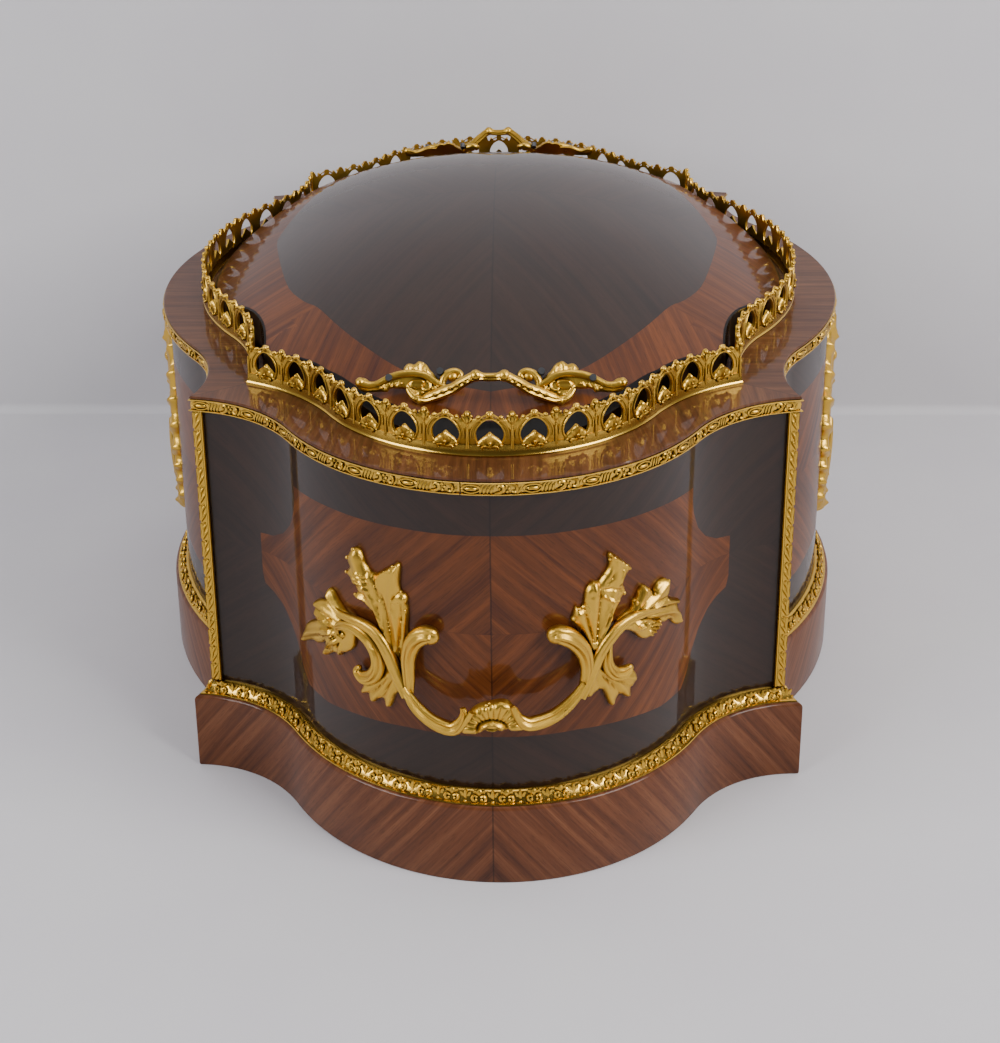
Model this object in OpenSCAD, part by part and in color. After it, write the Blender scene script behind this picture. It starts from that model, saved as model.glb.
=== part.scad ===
// Table jardiniere: a serpentine veneered planter box with a pierced gallery,
// a domed lift-off lid, a metal liner and cast foliate mounts.
// The origin is at the middle of the underside. +Z is up, Y runs along the length.

/* [Plan outline at the top rim] */
// Half width between the corners
corner_x = 110; // [98:1:122]
// Half length between the corners
corner_y = 119; // [108:1:130]
// Radius of the bulge on the short ends
end_bulge_r = 83; // [76:1:90]
// Half angle of the bulge on the short ends
end_bulge_a = 59; // [54:1:63]
// Radius of the hollows beside the end bulge
end_hollow_r = 51.5; // [47:0.5:58]
// Radius of the bulge on the long sides
side_bulge_r = 123; // [112:1:134]
// Half angle of the bulge on the long sides
side_bulge_a = 36.3; // [33:0.1:39]
// Radius of the hollows beside the side bulge
side_hollow_r = 47.5; // [43:0.5:53]

/* [Case] */
// Height from the table to the top of the rim
case_h = 156; // [140:1:175]
// Height of the plinth
plinth_h = 31.5; // [26:0.5:38]
// How far the plinth stands outside the rim's edge
plinth_out = 3.5; // [3:0.1:5]
// Width of the plinth frame from outside to inside
plinth_w = 21.5; // [18:0.5:24]
// Chamfer along the plinth's top edge
plinth_chamfer = 0.8; // [0.4:0.1:1.2]
// How far the walls stand inside the rim's edge
wall_in = 2.5; // [2:0.1:3]
// Thickness of the walls
wall_t = 10; // [8:0.5:11]
// Thickness of the bottom board
bottom_t = 8; // [6:0.5:10]
// Leg of the glue blocks in the inner corners
block_leg = 12; // [9:0.5:14]

/* [Top rim] */
// Thickness of the rim
rim_t = 6; // [5:0.5:8]
// Width of the rim from its edge to the lid opening
rim_w = 21.5; // [20.5:0.5:24]
// Thickness of the veneered lip above the band
rim_lip_t = 1; // [0.8:0.1:1.6]
// Setback of the lip from the face of the band
rim_lip_in = 0.4; // [0.2:0.1:0.8]
// Height of the ledge under the rim
ledge_t = 6; // [5:0.5:8]
// How far the ledge reaches inside the lid opening
ledge_w = 5.5; // [4.5:0.5:7]

/* [Gilt mouldings] */
// Height of the band under the rim's lip
band_h = 4.7; // [4:0.1:5.5]
// Height of each plain border of the band
band_border_h = 0.8; // [0.5:0.1:1.2]
// Depth of the sunk field between the borders
band_sink = 0.5; // [0.3:0.1:0.8]
// Gap where the two halves of a band meet
band_gap = 0.4; // [0.2:0.1:0.8]
// Distance of that joint from the middle of a side
band_joint_d = 9.6; // [0:0.2:14]
// Height of the moulding on the plinth
foot_band_h = 5; // [4:0.25:7]
// How far that moulding stands outside the rim's edge
foot_band_out = 2.4; // [2:0.1:2.8]
// Width of a corner strip, from its outer edge along each wall
strip_w = 4.6; // [4:0.1:6]
// How far a corner strip stands off the walls
strip_t = 2; // [1.6:0.1:2.2]

/* [Gallery] */
// Height from the rim to the tips of the buds
gallery_h = 16; // [15:0.5:20]
// Setback of the gallery's foot from the rim's edge
gallery_in = 16.5; // [15.5:0.5:17]
// Width of the gallery's foot
gallery_foot_w = 3; // [2.5:0.1:3.5]
// Height of the gallery's foot
gallery_foot_h = 1.4; // [1:0.1:2]
// Height from the foot to the openings
gallery_sill_h = 1.4; // [1:0.1:2]
// Thickness of the pierced wall
gallery_t = 1.6; // [1.2:0.1:2]
// Spacing that the openings come nearest to
gallery_pitch = 15; // [13:0.2:17]
// Radius of the round openings
gallery_hole_r = 4.9; // [4:0.1:5]
// Width of the ring round each opening
gallery_rail = 1.1; // [0.8:0.1:1.4]
// Radius of the bead on top of each opening
bud_r = 1.1; // [0.9:0.05:1.3]

/* [Liner] */
// Thickness of the metal sheet
liner_t = 1; // [0.8:0.1:1.5]
// Gap between the liner and the ledge
liner_gap = 0.6; // [0.4:0.1:1.5]
// Gap between the liner and the bottom board
liner_under = 2; // [1:0.5:5]

/* [Lid] */
// Gap between the lid and the rim
lid_gap = 0.5; // [0.3:0.1:1]
// Height of the dome above the lid's edge
dome_h = 38; // [30:1:44]
// Height of the lid's edge above the rim at the ends
lid_edge_h = 1.5; // [0.5:0.5:4]
// Fullness of the dome's outline
dome_round = 2.35; // [2:0.05:3]
// Fullness of the dome's profile
dome_full = 2.2; // [1.8:0.1:3]
// Flat cut across each corner of the lid
lid_corner_cut = 7; // [4:0.5:9]
// Thickness of the cleats under the lid
cleat_t = 5; // [4:0.5:8]
// Width of the cleats
cleat_w = 18; // [12:1:24]
// Distance of the cleats from the lid's middle
cleat_y = 60; // [45:1:75]
// Gap between the cleats' ends and the liner
cleat_gap = 1.5; // [1:0.5:3]

/* [Handles] */
// How far the bail of an end handle stands off the wall
bail_out = 12; // [10:0.5:15]
// Radius of that bail
bail_r = 2.5; // [2:0.1:3.2]
// Relief of the leaves above the wall
leaf_t = 3.4; // [2.5:0.1:4.5]
// Distance of the end handles' screws from the middle, round the wall
handle_fix_d = 37; // [34:0.5:40]
// Height of those screws
handle_fix_z = 92; // [84:1:98]
// Height of the lower screw of a side mount
mount_fix_low = 66; // [60:1:72]
// Height of the upper screw of a side mount
mount_fix_high = 122; // [116:1:126]
// Radius of the screws of the end handles and side mounts
screw_r = 1.6; // [1.4:0.1:2]
// Distance of the lid handles' foot line from the lid's middle
lid_handle_y = 145; // [140:0.5:147]
// Height of a lid handle's bar above the lid
lid_bar_h = 12.3; // [11:0.1:15]
// Radius of that bar
lid_bar_r = 1.5; // [1.3:0.1:1.8]
// Inward lean of the leaves at its ends
lid_leaf_lean = 38; // [30:1:45]
// Thickness of those leaves
lid_leaf_t = 2.4; // [1.8:0.1:3]
// Radius of the bosses round the lid handles' screws
lid_boss_r = 2.5; // [2.3:0.1:3]
// Radius of the screws of the lid handles
lid_screw_r = 0.9; // [0.8:0.05:1.1]

/* [Hidden] */

FRONT = 0;
RIGHT = 1;
BACK = 2;
LEFT = 3;
BULGE_STEPS = 10;
HOLLOW_STEPS = 7;
DEG = 180 / PI;
GAP = 0.05;

// Colours as the object shows them
KINGWOOD = "#3a211b";
TULIPWOOD = "#7a3d22";
OAK = "#a8814f";
GILT = "#c9a13e";
ZINC = "#9aa0a3";
STEEL = "#8b8d90";

// Levels above the table
rim_z = case_h - rim_t;
wall_top = rim_z;
ledge_z = rim_z - ledge_t;
foot_band_top = plinth_h + foot_band_h;
lid_z = rim_z + liner_t;

// Offsets from the rim's edge, outwards positive
wall_o = -wall_in;
wall_i = -wall_in - wall_t;
rim_i = -rim_w;
ledge_i = -rim_w - ledge_w;
liner_o = ledge_i - liner_gap;
liner_i = liner_o - liner_t;
gallery_o = -gallery_in - (gallery_foot_w - gallery_t) / 2;
lid_o = rim_i - lid_gap;
flange_o = rim_i - lid_gap;

// Centres of the arcs. u runs along a side, v runs outwards.
end_hollow_u = (end_bulge_r + end_hollow_r) * sin(end_bulge_a);
end_corner_a = asin((corner_x - end_hollow_u) / end_hollow_r);
end_hollow_v = corner_y + end_hollow_r * cos(end_corner_a);
end_bulge_v = end_hollow_v - (end_bulge_r + end_hollow_r) * cos(end_bulge_a);
side_hollow_u = (side_bulge_r + side_hollow_r) * sin(side_bulge_a);
side_corner_a = asin((corner_y - side_hollow_u) / side_hollow_r);
side_hollow_v = corner_x + side_hollow_r * cos(side_corner_a);
side_bulge_v = side_hollow_v - (side_bulge_r + side_hollow_r) * cos(side_bulge_a);

// A side's arcs: bulge radius, half angle and centre, hollow radius and centre
END_ARCS = [end_bulge_r, end_bulge_a, end_bulge_v, end_hollow_r, end_hollow_u, end_hollow_v];
SIDE_ARCS = [side_bulge_r, side_bulge_a, side_bulge_v, side_hollow_r, side_hollow_u, side_hollow_v];
function arcs(k) = k % 2 == 0 ? END_ARCS : SIDE_ARCS;

// Where the hollows of two sides cross, at an offset from the rim's edge
function corner_at(o) =
  let (a = [end_hollow_u, end_hollow_v], b = [side_hollow_v, side_hollow_u])
  let (ra = end_hollow_r - o, rb = side_hollow_r - o, d = norm(b - a), e = (b - a) / d)
  let (along = (ra * ra - rb * rb + d * d) / (2 * d), h = sqrt(ra * ra - along * along))
  let (p = a + e * along + [-e.y, e.x] * h, q = a + e * along - [-e.y, e.x] * h)
  norm(p) < norm(q) ? p : q;
function corner_uv(k, o) = let (c = corner_at(o)) k % 2 == 0 ? c : [c.y, c.x];

// Lengths and angles of the arcs at an offset
function bulge_len(k, o) = (arcs(k)[0] + o) * arcs(k)[1] / DEG;
function hollow_end(k, o) =
  let (s = arcs(k), c = corner_uv(k, o)) atan2(s[4] - c[0], s[5] - c[1]);
function hollow_len(k, o) = (arcs(k)[3] - o) * (arcs(k)[1] - hollow_end(k, o)) / DEG;
function side_len(k, o) = 2 * (bulge_len(k, o) + hollow_len(k, o));

// Points of half a side, from its middle to its corner
function half_side(k, o) =
  let (s = arcs(k), end = hollow_end(k, o))
  concat(
    [for (i = [0:BULGE_STEPS])
      let (a = s[1] * i / BULGE_STEPS) [(s[0] + o) * sin(a), s[2] + (s[0] + o) * cos(a)]],
    [for (i = [1:HOLLOW_STEPS])
      let (t = s[1] + (end - s[1]) * i / HOLLOW_STEPS)
      [s[4] - (s[3] - o) * sin(t), s[5] - (s[3] - o) * cos(t)]]
  );

// The sides run anticlockwise seen from above
function to_plan(k, p) =
  k == FRONT ? [p[0], -p[1]] : k == RIGHT ? [p[1], p[0]] : k == BACK ? [-p[0], p[1]] : [-p[1], -p[0]];
function side_points(k, o) =
  let (half = half_side(k, o), n = len(half) - 1)
  [for (i = [-n:n]) to_plan(k, i < 0 ? [-half[-i][0], half[-i][1]] : half[i])];
function reversed(list) = [for (i = [len(list) - 1:-1:0]) list[i]];
function open_end(list) = [for (i = [0:len(list) - 2]) list[i]];
function outline(o) = [for (k = [FRONT:LEFT]) each open_end(side_points(k, o))];

// Place on a side at a distance from its middle: u, v and the turn of the outward normal
function along_side(k, o, d) =
  let (s = arcs(k), q = abs(d), lb = bulge_len(k, o), way = d < 0 ? -1 : 1)
  q <= lb
  ? let (a = q / (s[0] + o) * DEG) [way * (s[0] + o) * sin(a), s[2] + (s[0] + o) * cos(a), way * a]
  : let (t = s[1] - (q - lb) / (s[3] - o) * DEG)
    [way * (s[4] - (s[3] - o) * sin(t)), s[5] - (s[3] - o) * cos(t), way * t];

// A point on the bulge of an end or side: distance round the wall's face, height, stand-off
function on_bulge(k, p) =
  let (s = arcs(k), r = s[0] + wall_o, a = p[0] / r * DEG)
  let (q = to_plan(k, [(r + p[2]) * sin(a), s[2] + (r + p[2]) * cos(a)]))
  [q[0], q[1], p[1]];
function bulge_normal(k, d) =
  let (a = d / (arcs(k)[0] + wall_o) * DEG, q = to_plan(k, [sin(a), cos(a)]))
  [q[0], q[1], 0];

// How far a side stands out at a distance u from its middle
function face_at(k, o, u) =
  let (s = arcs(k))
  u < (s[0] + o) * sin(s[1]) ? s[2] + sqrt(pow(s[0] + o, 2) - u * u)
  : s[5] - sqrt(pow(s[3] - o, 2) - pow(s[4] - u, 2));

// A smooth line through control points, with rows of any length
function smooth(p, n) =
  [for (i = [0:len(p) - 2], j = [0:n - 1]) spline(p, i, j / n), p[len(p) - 1]];
function spline(p, i, t) =
  let (a = p[max(i - 1, 0)], b = p[i], c = p[i + 1], d = p[min(i + 2, len(p) - 1)])
  0.5 * ((2 * b) + (c - a) * t + (2 * a - 5 * b + 4 * c - d) * t * t
    + (3 * b - a - 3 * c + d) * t * t * t);
function unit(v) = v / norm(v);

// Puts children on a side: X along it, Y outwards
module at_side(k, o, d) {
  p = along_side(k, o, d);
  q = to_plan(k, [p[0], p[1]]);
  translate([q[0], q[1], 0])
    rotate([0, 0, 180 + 90 * k + p[2]])
      children();
}

// A length of one side between two offsets and two levels, mitred at both ends
module side_ring(k, outer, inner, z0, z1) {
  translate([0, 0, z0])
    linear_extrude(height = z1 - z0)
      polygon(concat(side_points(k, outer), reversed(side_points(k, inner))));
}

module plan_slab(o, z0, z1) {
  translate([0, 0, z0])
    linear_extrude(height = z1 - z0)
      polygon(outline(o));
}

// A round bar along a path. Each ring is set by the path and a normal, and squashed along it.
module bar(path, normals, radii, flat = 1, sides = 8) {
  n = len(path);
  ring = [for (i = [0:n - 1])
    let (t = unit(path[min(i + 1, n - 1)] - path[max(i - 1, 0)]), b = unit(cross(t, normals[i])))
    let (m = cross(b, t))
    for (j = [0:sides - 1])
      path[i] + radii[i] * (cos(360 * j / sides) * b + flat * sin(360 * j / sides) * m)];
  walls = [for (i = [0:n - 2], j = [0:sides - 1])
    let (a = i * sides + j, b = i * sides + (j + 1) % sides)
    each [[a, b, b + sides], [a, b + sides, a + sides]]];
  start = [for (j = [1:sides - 2]) [0, j + 1, j]];
  last = (n - 1) * sides;
  end = [for (j = [1:sides - 2]) [last, last + j, last + j + 1]];
  polyhedron(points = ring, faces = concat(walls, start, end));
}

// Plinth

module plinth(k) {
  color(TULIPWOOD) {
    side_ring(k, plinth_out, plinth_out - plinth_w, 0, plinth_h - plinth_chamfer);
    side_ring(k, plinth_out - plinth_chamfer, plinth_out - plinth_w,
      plinth_h - plinth_chamfer, plinth_h);
  }
}

// Foot moulding: a flat fillet, a round and a thin top fillet

module foot_moulding(k) {
  fillet = foot_band_h * 0.3;
  round_top = foot_band_h * 0.75;
  mid_o = (foot_band_out + wall_o) / 2;
  color(GILT) {
    side_ring(k, foot_band_out, wall_o, plinth_h, plinth_h + fillet);
    side_ring(k, foot_band_out - 0.8, wall_o, plinth_h + fillet, plinth_h + round_top);
    side_ring(k, mid_o, wall_o, plinth_h + round_top, foot_band_top);
  }
}

// Case walls

mount_fix_z = [mount_fix_low, mount_fix_high];
head_r = screw_r * 2;
head_t = 2;
screw_end = 2.7;
screw_play = 0.3;

module wall(k) {
  difference() {
    color(KINGWOOD) side_ring(k, wall_o, wall_i, plinth_h, wall_top);
    if (k % 2 == 0) handle_holes(k);
    else mount_holes(k);
  }
}

module handle_holes(k) {
  for (way = [-1, 1])
    at_side(k, wall_o, way * handle_fix_d)
      translate([0, 0, handle_fix_z])
        rotate([90, 0, 0])
          translate([0, 0, -1])
            cylinder(r = screw_r + GAP, h = wall_t + 2, $fn = 24);
}

module mount_holes(k) {
  for (z = mount_fix_z)
    at_side(k, wall_o, 0)
      translate([0, 0, z])
        rotate([90, 0, 0])
          translate([0, 0, -1])
            cylinder(r = screw_r + GAP, h = wall_t + 2, $fn = 24);
}

// Bottom board and glue blocks

module bottom_board() {
  color(OAK) plan_slab(wall_i, plinth_h, plinth_h + bottom_t);
}

module glue_blocks() {
  c = corner_at(wall_i);
  color(OAK)
    intersection() {
      plan_slab(wall_i, plinth_h + bottom_t, ledge_z);
      for (sx = [-1, 1], sy = [-1, 1])
        translate([sx * c.x, sy * c.y, plinth_h])
          rotate([0, 0, 45])
            cube([block_leg, block_leg, 2 * case_h], center = true);
    }
}

// Ledge strips glued inside the walls, under the rim

module ledge_strips() {
  color(OAK)
    for (k = [FRONT:LEFT])
      side_ring(k, wall_i, ledge_i, ledge_z, rim_z);
}

// Top rim

module rim(k) {
  lip_z = case_h - rim_lip_t;
  color(TULIPWOOD) {
    side_ring(k, wall_o, rim_i, rim_z, lip_z);
    side_ring(k, -rim_lip_in, rim_i, lip_z, case_h);
  }
}

// Band under the rim's lip, in two lengths that meet beside the middle

module band(k) {
  top = case_h - rim_lip_t;
  low = top - band_h;
  difference() {
    color(GILT) {
      side_ring(k, 0, wall_o, low, low + band_border_h);
      side_ring(k, -band_sink, wall_o, low + band_border_h, top - band_border_h);
      side_ring(k, 0, wall_o, top - band_border_h, top);
    }
    at_side(k, 0, -band_joint_d)
      translate([-band_gap / 2, -2 * wall_in, low - 1])
        cube([band_gap, 4 * wall_in, band_h + 2]);
  }
}

// Corner strips

module corner_strip(sx, sy) {
  c = corner_at(wall_o + strip_t);
  color(GILT)
    translate([0, 0, foot_band_top])
      linear_extrude(height = case_h - rim_lip_t - band_h - foot_band_top)
        intersection() {
          difference() {
            polygon(outline(wall_o + strip_t));
            polygon(outline(wall_o));
          }
          translate([sx * c.x, sy * c.y])
            circle(r = strip_w, $fn = 32);
        }
}

// Gallery

gallery_count = [for (k = [FRONT:LEFT]) round(side_len(k, gallery_o) / gallery_pitch)];
sill_z = gallery_foot_h + gallery_sill_h;
// The openings keep inside their bay and leave room for the buds
hole_r = min(gallery_hole_r, (gallery_h - sill_z - gallery_rail - 2) / 2,
  gallery_pitch / 2 - gallery_rail - 0.6);
hole_z = sill_z + hole_r;
ring_r = hole_r + gallery_rail;
crown_z = hole_z + ring_r;
bud_z = gallery_h - bud_r;

// Three-pointed leaf that rises from the foot inside each opening
module palmette() {
  low = gallery_foot_h * 0.5;
  tall = hole_z + 0.4 - low;
  w = hole_r * 0.66;
  polygon([[-0.8, low], [0.8, low], [0.9, low + tall * 0.4], [w, low + tall * 0.48],
    [w * 0.94, low + tall * 0.62], [w * 0.5, low + tall * 0.78], [0, low + tall],
    [-w * 0.5, low + tall * 0.78], [-w * 0.94, low + tall * 0.62], [-w, low + tall * 0.48],
    [-0.9, low + tall * 0.4]]);
}

// What is cut out of one bay: a round opening with a pointed top, round the leaf
module opening() {
  difference() {
    union() {
      translate([0, hole_z])
        circle(r = hole_r, $fn = 40);
      translate([0, hole_z + hole_r * 0.42])
        rotate(45)
          square(hole_r * 0.98, center = true);
    }
    palmette();
  }
}

// What is cut off above one bay, from the middle of one spray to the next: half a spray with
// a side leaf at each end, and a bead on two shoulders over the opening
module skyline(pitch) {
  seam = pitch / 2;
  rise = gallery_h - crown_z;
  half = [
    [seam - 0.3, gallery_h + 1], [seam - 0.3, gallery_h], [seam - 1.3, crown_z + rise * 0.4],
    [seam - 1.6, crown_z - rise * 0.4], [seam - 2.5, crown_z + rise * 0.3],
    [seam - 3.7, crown_z + rise * 0.45], [seam - 4.4, crown_z + rise * 0.05],
    [bud_r * 2.5, crown_z - rise * 0.4], [bud_r * 1.9, crown_z - rise * 0.2],
    [bud_r * 1.6, crown_z + rise * 0.25], [bud_r * 0.8, bud_z - bud_r * 0.7], [bud_r, bud_z],
    [bud_r * 0.7, bud_z + bud_r * 0.6]
  ];
  top = [0, bud_z + bud_r * 0.85];
  polygon(concat(half, [top], [for (i = [len(half) - 1:-1:0]) [-half[i][0], half[i][1]]]));
}

module upright(height_2d) {
  rotate([90, 0, 0])
    linear_extrude(height = height_2d, center = true)
      children();
}

module gallery(k) {
  count = gallery_count[k];
  middle_o = gallery_o - gallery_t / 2;
  length = side_len(k, middle_o);
  pitch = length / count;
  flare = gallery_foot_w * 0.12;
  color(GILT) {
    side_ring(k, -gallery_in, -gallery_in - gallery_foot_w, case_h, case_h + gallery_foot_h);
    side_ring(k, -gallery_in - flare, -gallery_in - gallery_foot_w + flare,
      case_h + gallery_foot_h, case_h + sill_z);
    difference() {
      side_ring(k, gallery_o, gallery_o - gallery_t, case_h + gallery_foot_h, case_h + gallery_h);
      for (i = [0:count - 1])
        at_side(k, middle_o, (i + 0.5) * pitch - length / 2)
          translate([0, 0, case_h])
            upright(3 * gallery_t) {
              opening();
              skyline(pitch);
            }
    }
  }
}

// End handles: two foliate mounts joined by a bail, one casting

// Where the screws stand in the drawing of the left mount
DRAWN_D = 37;
DRAWN_Z = 92;
// Outline of its leaves, round the wall and up: volute, tall leaves, fan, scroll, lower leaf
LEAF = [
  [-26, 73], [-25, 80], [-25.2, 86.9], [-24, 91.3], [-20.4, 93.2], [-17.1, 95], [-17.4, 99],
  [-20.9, 101.3], [-25.3, 100], [-28, 98.5], [-28.5, 104.5], [-29, 109.1], [-31.4, 109.7],
  [-31.1, 116], [-31.7, 120.7], [-35.8, 118.7], [-38.4, 115.8], [-40.5, 112.3], [-42.5, 113],
  [-44.2, 117.3], [-46.4, 121.5], [-49.5, 121.4], [-52.1, 117.9], [-52.8, 111.1], [-49, 109.2],
  [-44.2, 105.7], [-48.3, 104.6], [-48.9, 101.8], [-44, 100.1], [-42.5, 97.8], [-45.2, 97.8],
  [-50.7, 96.6], [-53.5, 95.6], [-60.3, 100.6], [-63.7, 100], [-66.4, 96], [-71.1, 95],
  [-72, 90], [-78, 86.5], [-76, 82], [-79.6, 76], [-79, 71.5], [-72, 74], [-65.6, 73.1],
  [-57.5, 76.4], [-50.7, 82.6], [-50, 86.5], [-45.5, 87.5], [-42, 83], [-41, 79], [-43.2, 75],
  [-46, 73.5], [-48.5, 76.5], [-50, 74], [-48.9, 70.2], [-48.2, 65.6], [-46.9, 63.5],
  [-43.8, 62.3], [-41.1, 64.8], [-37.4, 62.2], [-35.2, 66.8], [-32.3, 69.8], [-29, 70]
];
// Its scrolls and veins: round the wall, up, stand-off, radius
BAIL = [
  [-34.1, 84.6, 3.6, 2], [-31.9, 78.5, 4.6, 2.2], [-28.4, 71, 7.4, 2.4], [-20.5, 65, 10.2, 2.5],
  [-12, 62.8, 11.6, 2.5], [0, 63.2, 12, 2.6]
];
SHELL = [[-10.5, 63.2, 11.7, 2.4], [-8, 64, 11.7, 4.2], [0, 64.6, 11.7, 5.4]];
VOLUTE = [
  [-29.4, 75, 5.2, 1.8], [-27.7, 80, 3.8, 2.4], [-27.1, 87.3, 3.2, 2.6], [-24.6, 93.8, 3, 3],
  [-21.2, 97, 3, 3.4], [-18.8, 96.6, 2.6, 2.2]
];
STEM = [
  [-34.1, 84.6, 3.6, 2], [-37.1, 90.4, 3.4, 2.2], [-40.6, 94.2, 3.4, 2.2], [-46, 95.4, 3.2, 2.3],
  [-51.5, 93.8, 3.2, 2.4], [-55.4, 90.5, 3, 2.2], [-55, 86.4, 2.8, 1.8]
];
HOOK = [
  [-49, 88, 2.6, 1.6], [-43.6, 88.4, 3, 1.8], [-39.6, 84.6, 3.2, 2], [-38.6, 79.4, 3.2, 2],
  [-41, 74, 3, 2.2], [-45.6, 71.6, 2.8, 2.4], [-48.6, 73.8, 2.6, 1.8]
];
VEINS = [
  [[-33.5, 86, 3.2, 1.6], [-36.5, 99, 3.6, 2], [-41.5, 109, 3.4, 2], [-48.8, 119.4, 2.4, 1.6]],
  [[-32.5, 92, 3.2, 1.6], [-32, 104, 3.4, 2], [-33.6, 117.6, 2.6, 1.6]],
  [[-55, 91, 3, 1.8], [-59.5, 95, 3, 1.8], [-62.6, 98.6, 2.4, 1.4]],
  [[-56, 88, 3, 1.8], [-64, 88, 3, 2], [-74.5, 88, 2.2, 1.4]],
  [[-55.5, 85.5, 3, 1.8], [-63, 81, 3, 2], [-76, 76.6, 2.2, 1.4]],
  [[-34, 78, 3.6, 1.6], [-40, 69.6, 3, 1.8], [-44.4, 65.4, 2.4, 1.4]]
];

// A point of the drawing moved with the screws
function placed(p) =
  [p[0] * handle_fix_d / DRAWN_D, p[1] + handle_fix_z - DRAWN_Z, p[2] * bail_out / 12, p[3]];
function mirrored(line) = [for (p = line) [-p[0], p[1], p[2], p[3]]];
// A line that runs to the middle, followed by its mirror image
function and_back(line) = concat(line, mirrored([for (i = [len(line) - 2:-1:0]) line[i]]));

module wall_bar(k, line, steps = 2, flat = 0.8, sides = 6) {
  run = smooth([for (p = line) placed(p)], steps);
  bar([for (p = run) on_bulge(k, p)], [for (p = run) bulge_normal(k, p[0])],
    [for (p = run) p[3]], flat, sides);
}

// Leaves as a plate that follows the wall, seen along the normal at the screw
module leaf_plate(k, way, t) {
  r = arcs(k)[0] + wall_o;
  flat_leaf = [for (p = LEAF)
    let (q = placed([p[0], p[1], 0, 0]))
    [way * r * sin((q[0] + handle_fix_d) / r * DEG), q[1]]];
  intersection() {
    side_ring(k, wall_o + t, wall_o, plinth_h, wall_top);
    at_side(k, wall_o, way * handle_fix_d)
      translate([0, -wall_t / 2, 0])
        rotate([90, 0, 0])
          linear_extrude(height = 4 * wall_t, center = true)
            polygon(flat_leaf);
  }
}

module end_handle(k) {
  thick = bail_r / 2.5;
  difference() {
    color(GILT) {
      wall_bar(k, [for (p = and_back(BAIL)) [p[0], p[1], p[2], p[3] * thick]], 3, 0.9, 8);
      wall_bar(k, and_back(SHELL), 2, 0.48, 12);
      for (way = [-1, 1])
        leaf_plate(k, way, leaf_t);
      for (line = concat([VOLUTE, STEM, HOOK], VEINS)) {
        wall_bar(k, line);
        wall_bar(k, mirrored(line));
      }
    }
    plan_slab(wall_o, plinth_h, wall_top);
    for (way = [-1, 1])
      at_side(k, wall_o, way * handle_fix_d)
        screw_hole(handle_fix_z);
  }
}

// Blind hole in the back of a casting
module screw_hole(z) {
  translate([0, screw_end - screw_play, z])
    rotate([90, 0, 0])
      cylinder(r = screw_r + GAP, h = 2 * screw_end, $fn = 24);
}

// A round-headed screw driven outwards from inside the case
module case_screw(bite) {
  rotate([-90, 0, 0]) {
    translate([0, 0, -wall_t - head_t])
      cylinder(r = head_r, h = head_t, $fn = 24);
    translate([0, 0, -wall_t])
      cylinder(r = screw_r, h = wall_t + bite, $fn = 24);
  }
}

module end_handle_screws() {
  color(STEEL)
    for (k = [FRONT, BACK], way = [-1, 1])
      at_side(k, wall_o, way * handle_fix_d)
        translate([0, -screw_play, handle_fix_z])
          case_screw(screw_end - screw_play);
}

// Side mounts: a tall symmetrical leaf casting on each long wall

// Right half of its outline and its rib, as drawn with the screws at 66 and 122
MOUNT_DRAWN = [66, 122];
MOUNT = [
  [0, 50], [4, 54], [3, 60], [8, 60], [11, 66], [8, 72], [14, 74], [18, 81], [14, 88], [20, 92],
  [22, 100], [16, 104], [18, 112], [13, 120], [10, 118], [9, 127], [4, 130], [3, 138], [0, 142]
];
MOUNT_RIB = [[0, 53, 1.5, 1.6], [0, 66, 3, 2.4], [0, 84, 3.5, 2.8], [0, 104, 4, 3.2], [0, 116, 4.5, 3.4],
  [0, 128, 3.5, 2.4], [0, 138, 2, 1.6]];

function mount_z(z) = mount_fix_low
  + (z - MOUNT_DRAWN[0]) * (mount_fix_high - mount_fix_low) / (MOUNT_DRAWN[1] - MOUNT_DRAWN[0]);

module side_mount(k) {
  half = [for (p = MOUNT) [p[0], mount_z(p[1])]];
  run = smooth([for (p = MOUNT_RIB) [p[0], mount_z(p[1]), p[2], p[3]]], 4);
  difference() {
    color(GILT) {
      intersection() {
        side_ring(k, wall_o + leaf_t, wall_o, plinth_h, wall_top);
        at_side(k, wall_o, 0)
          rotate([90, 0, 0])
            linear_extrude(height = 4 * wall_t, center = true)
              polygon(concat(half, [for (i = [len(half) - 2:-1:1]) [-half[i][0], half[i][1]]]));
      }
      bar([for (p = run) on_bulge(k, p)], [for (p = run) bulge_normal(k, 0)],
        [for (p = run) p[3]], 0.8);
    }
    plan_slab(wall_o, plinth_h, wall_top);
    for (z = mount_fix_z)
      at_side(k, wall_o, 0)
        screw_hole(z);
  }
}

module side_mount_screws() {
  color(STEEL)
    for (k = [RIGHT, LEFT], z = mount_fix_z)
      at_side(k, wall_o, 0)
        translate([0, -screw_play, z])
          case_screw(screw_end - screw_play);
}

// Metal liner that hangs on the ledge by its flange

liner_z = plinth_h + bottom_t + liner_under;

module liner() {
  color(ZINC)
    difference() {
      union() {
        plan_slab(liner_o, liner_z, rim_z);
        plan_slab(flange_o, rim_z, rim_z + liner_t);
      }
      plan_slab(liner_i, liner_z + liner_t, case_h);
    }
}

// Lid: a dome over the opening, with the corners cut back

dome_x = side_bulge_v + side_bulge_r + lid_o + 1.5;
dome_y = end_bulge_v + end_bulge_r + lid_o + 1.5;
DOME_RINGS = 8;

function dome_z(p) =
  let (r = pow(pow(abs(p.x) / dome_x, dome_round) + pow(abs(p.y) / dome_y, dome_round), 1 / dome_round))
  case_h + lid_edge_h + dome_h * (1 - pow(min(r, 1), dome_full));

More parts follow.
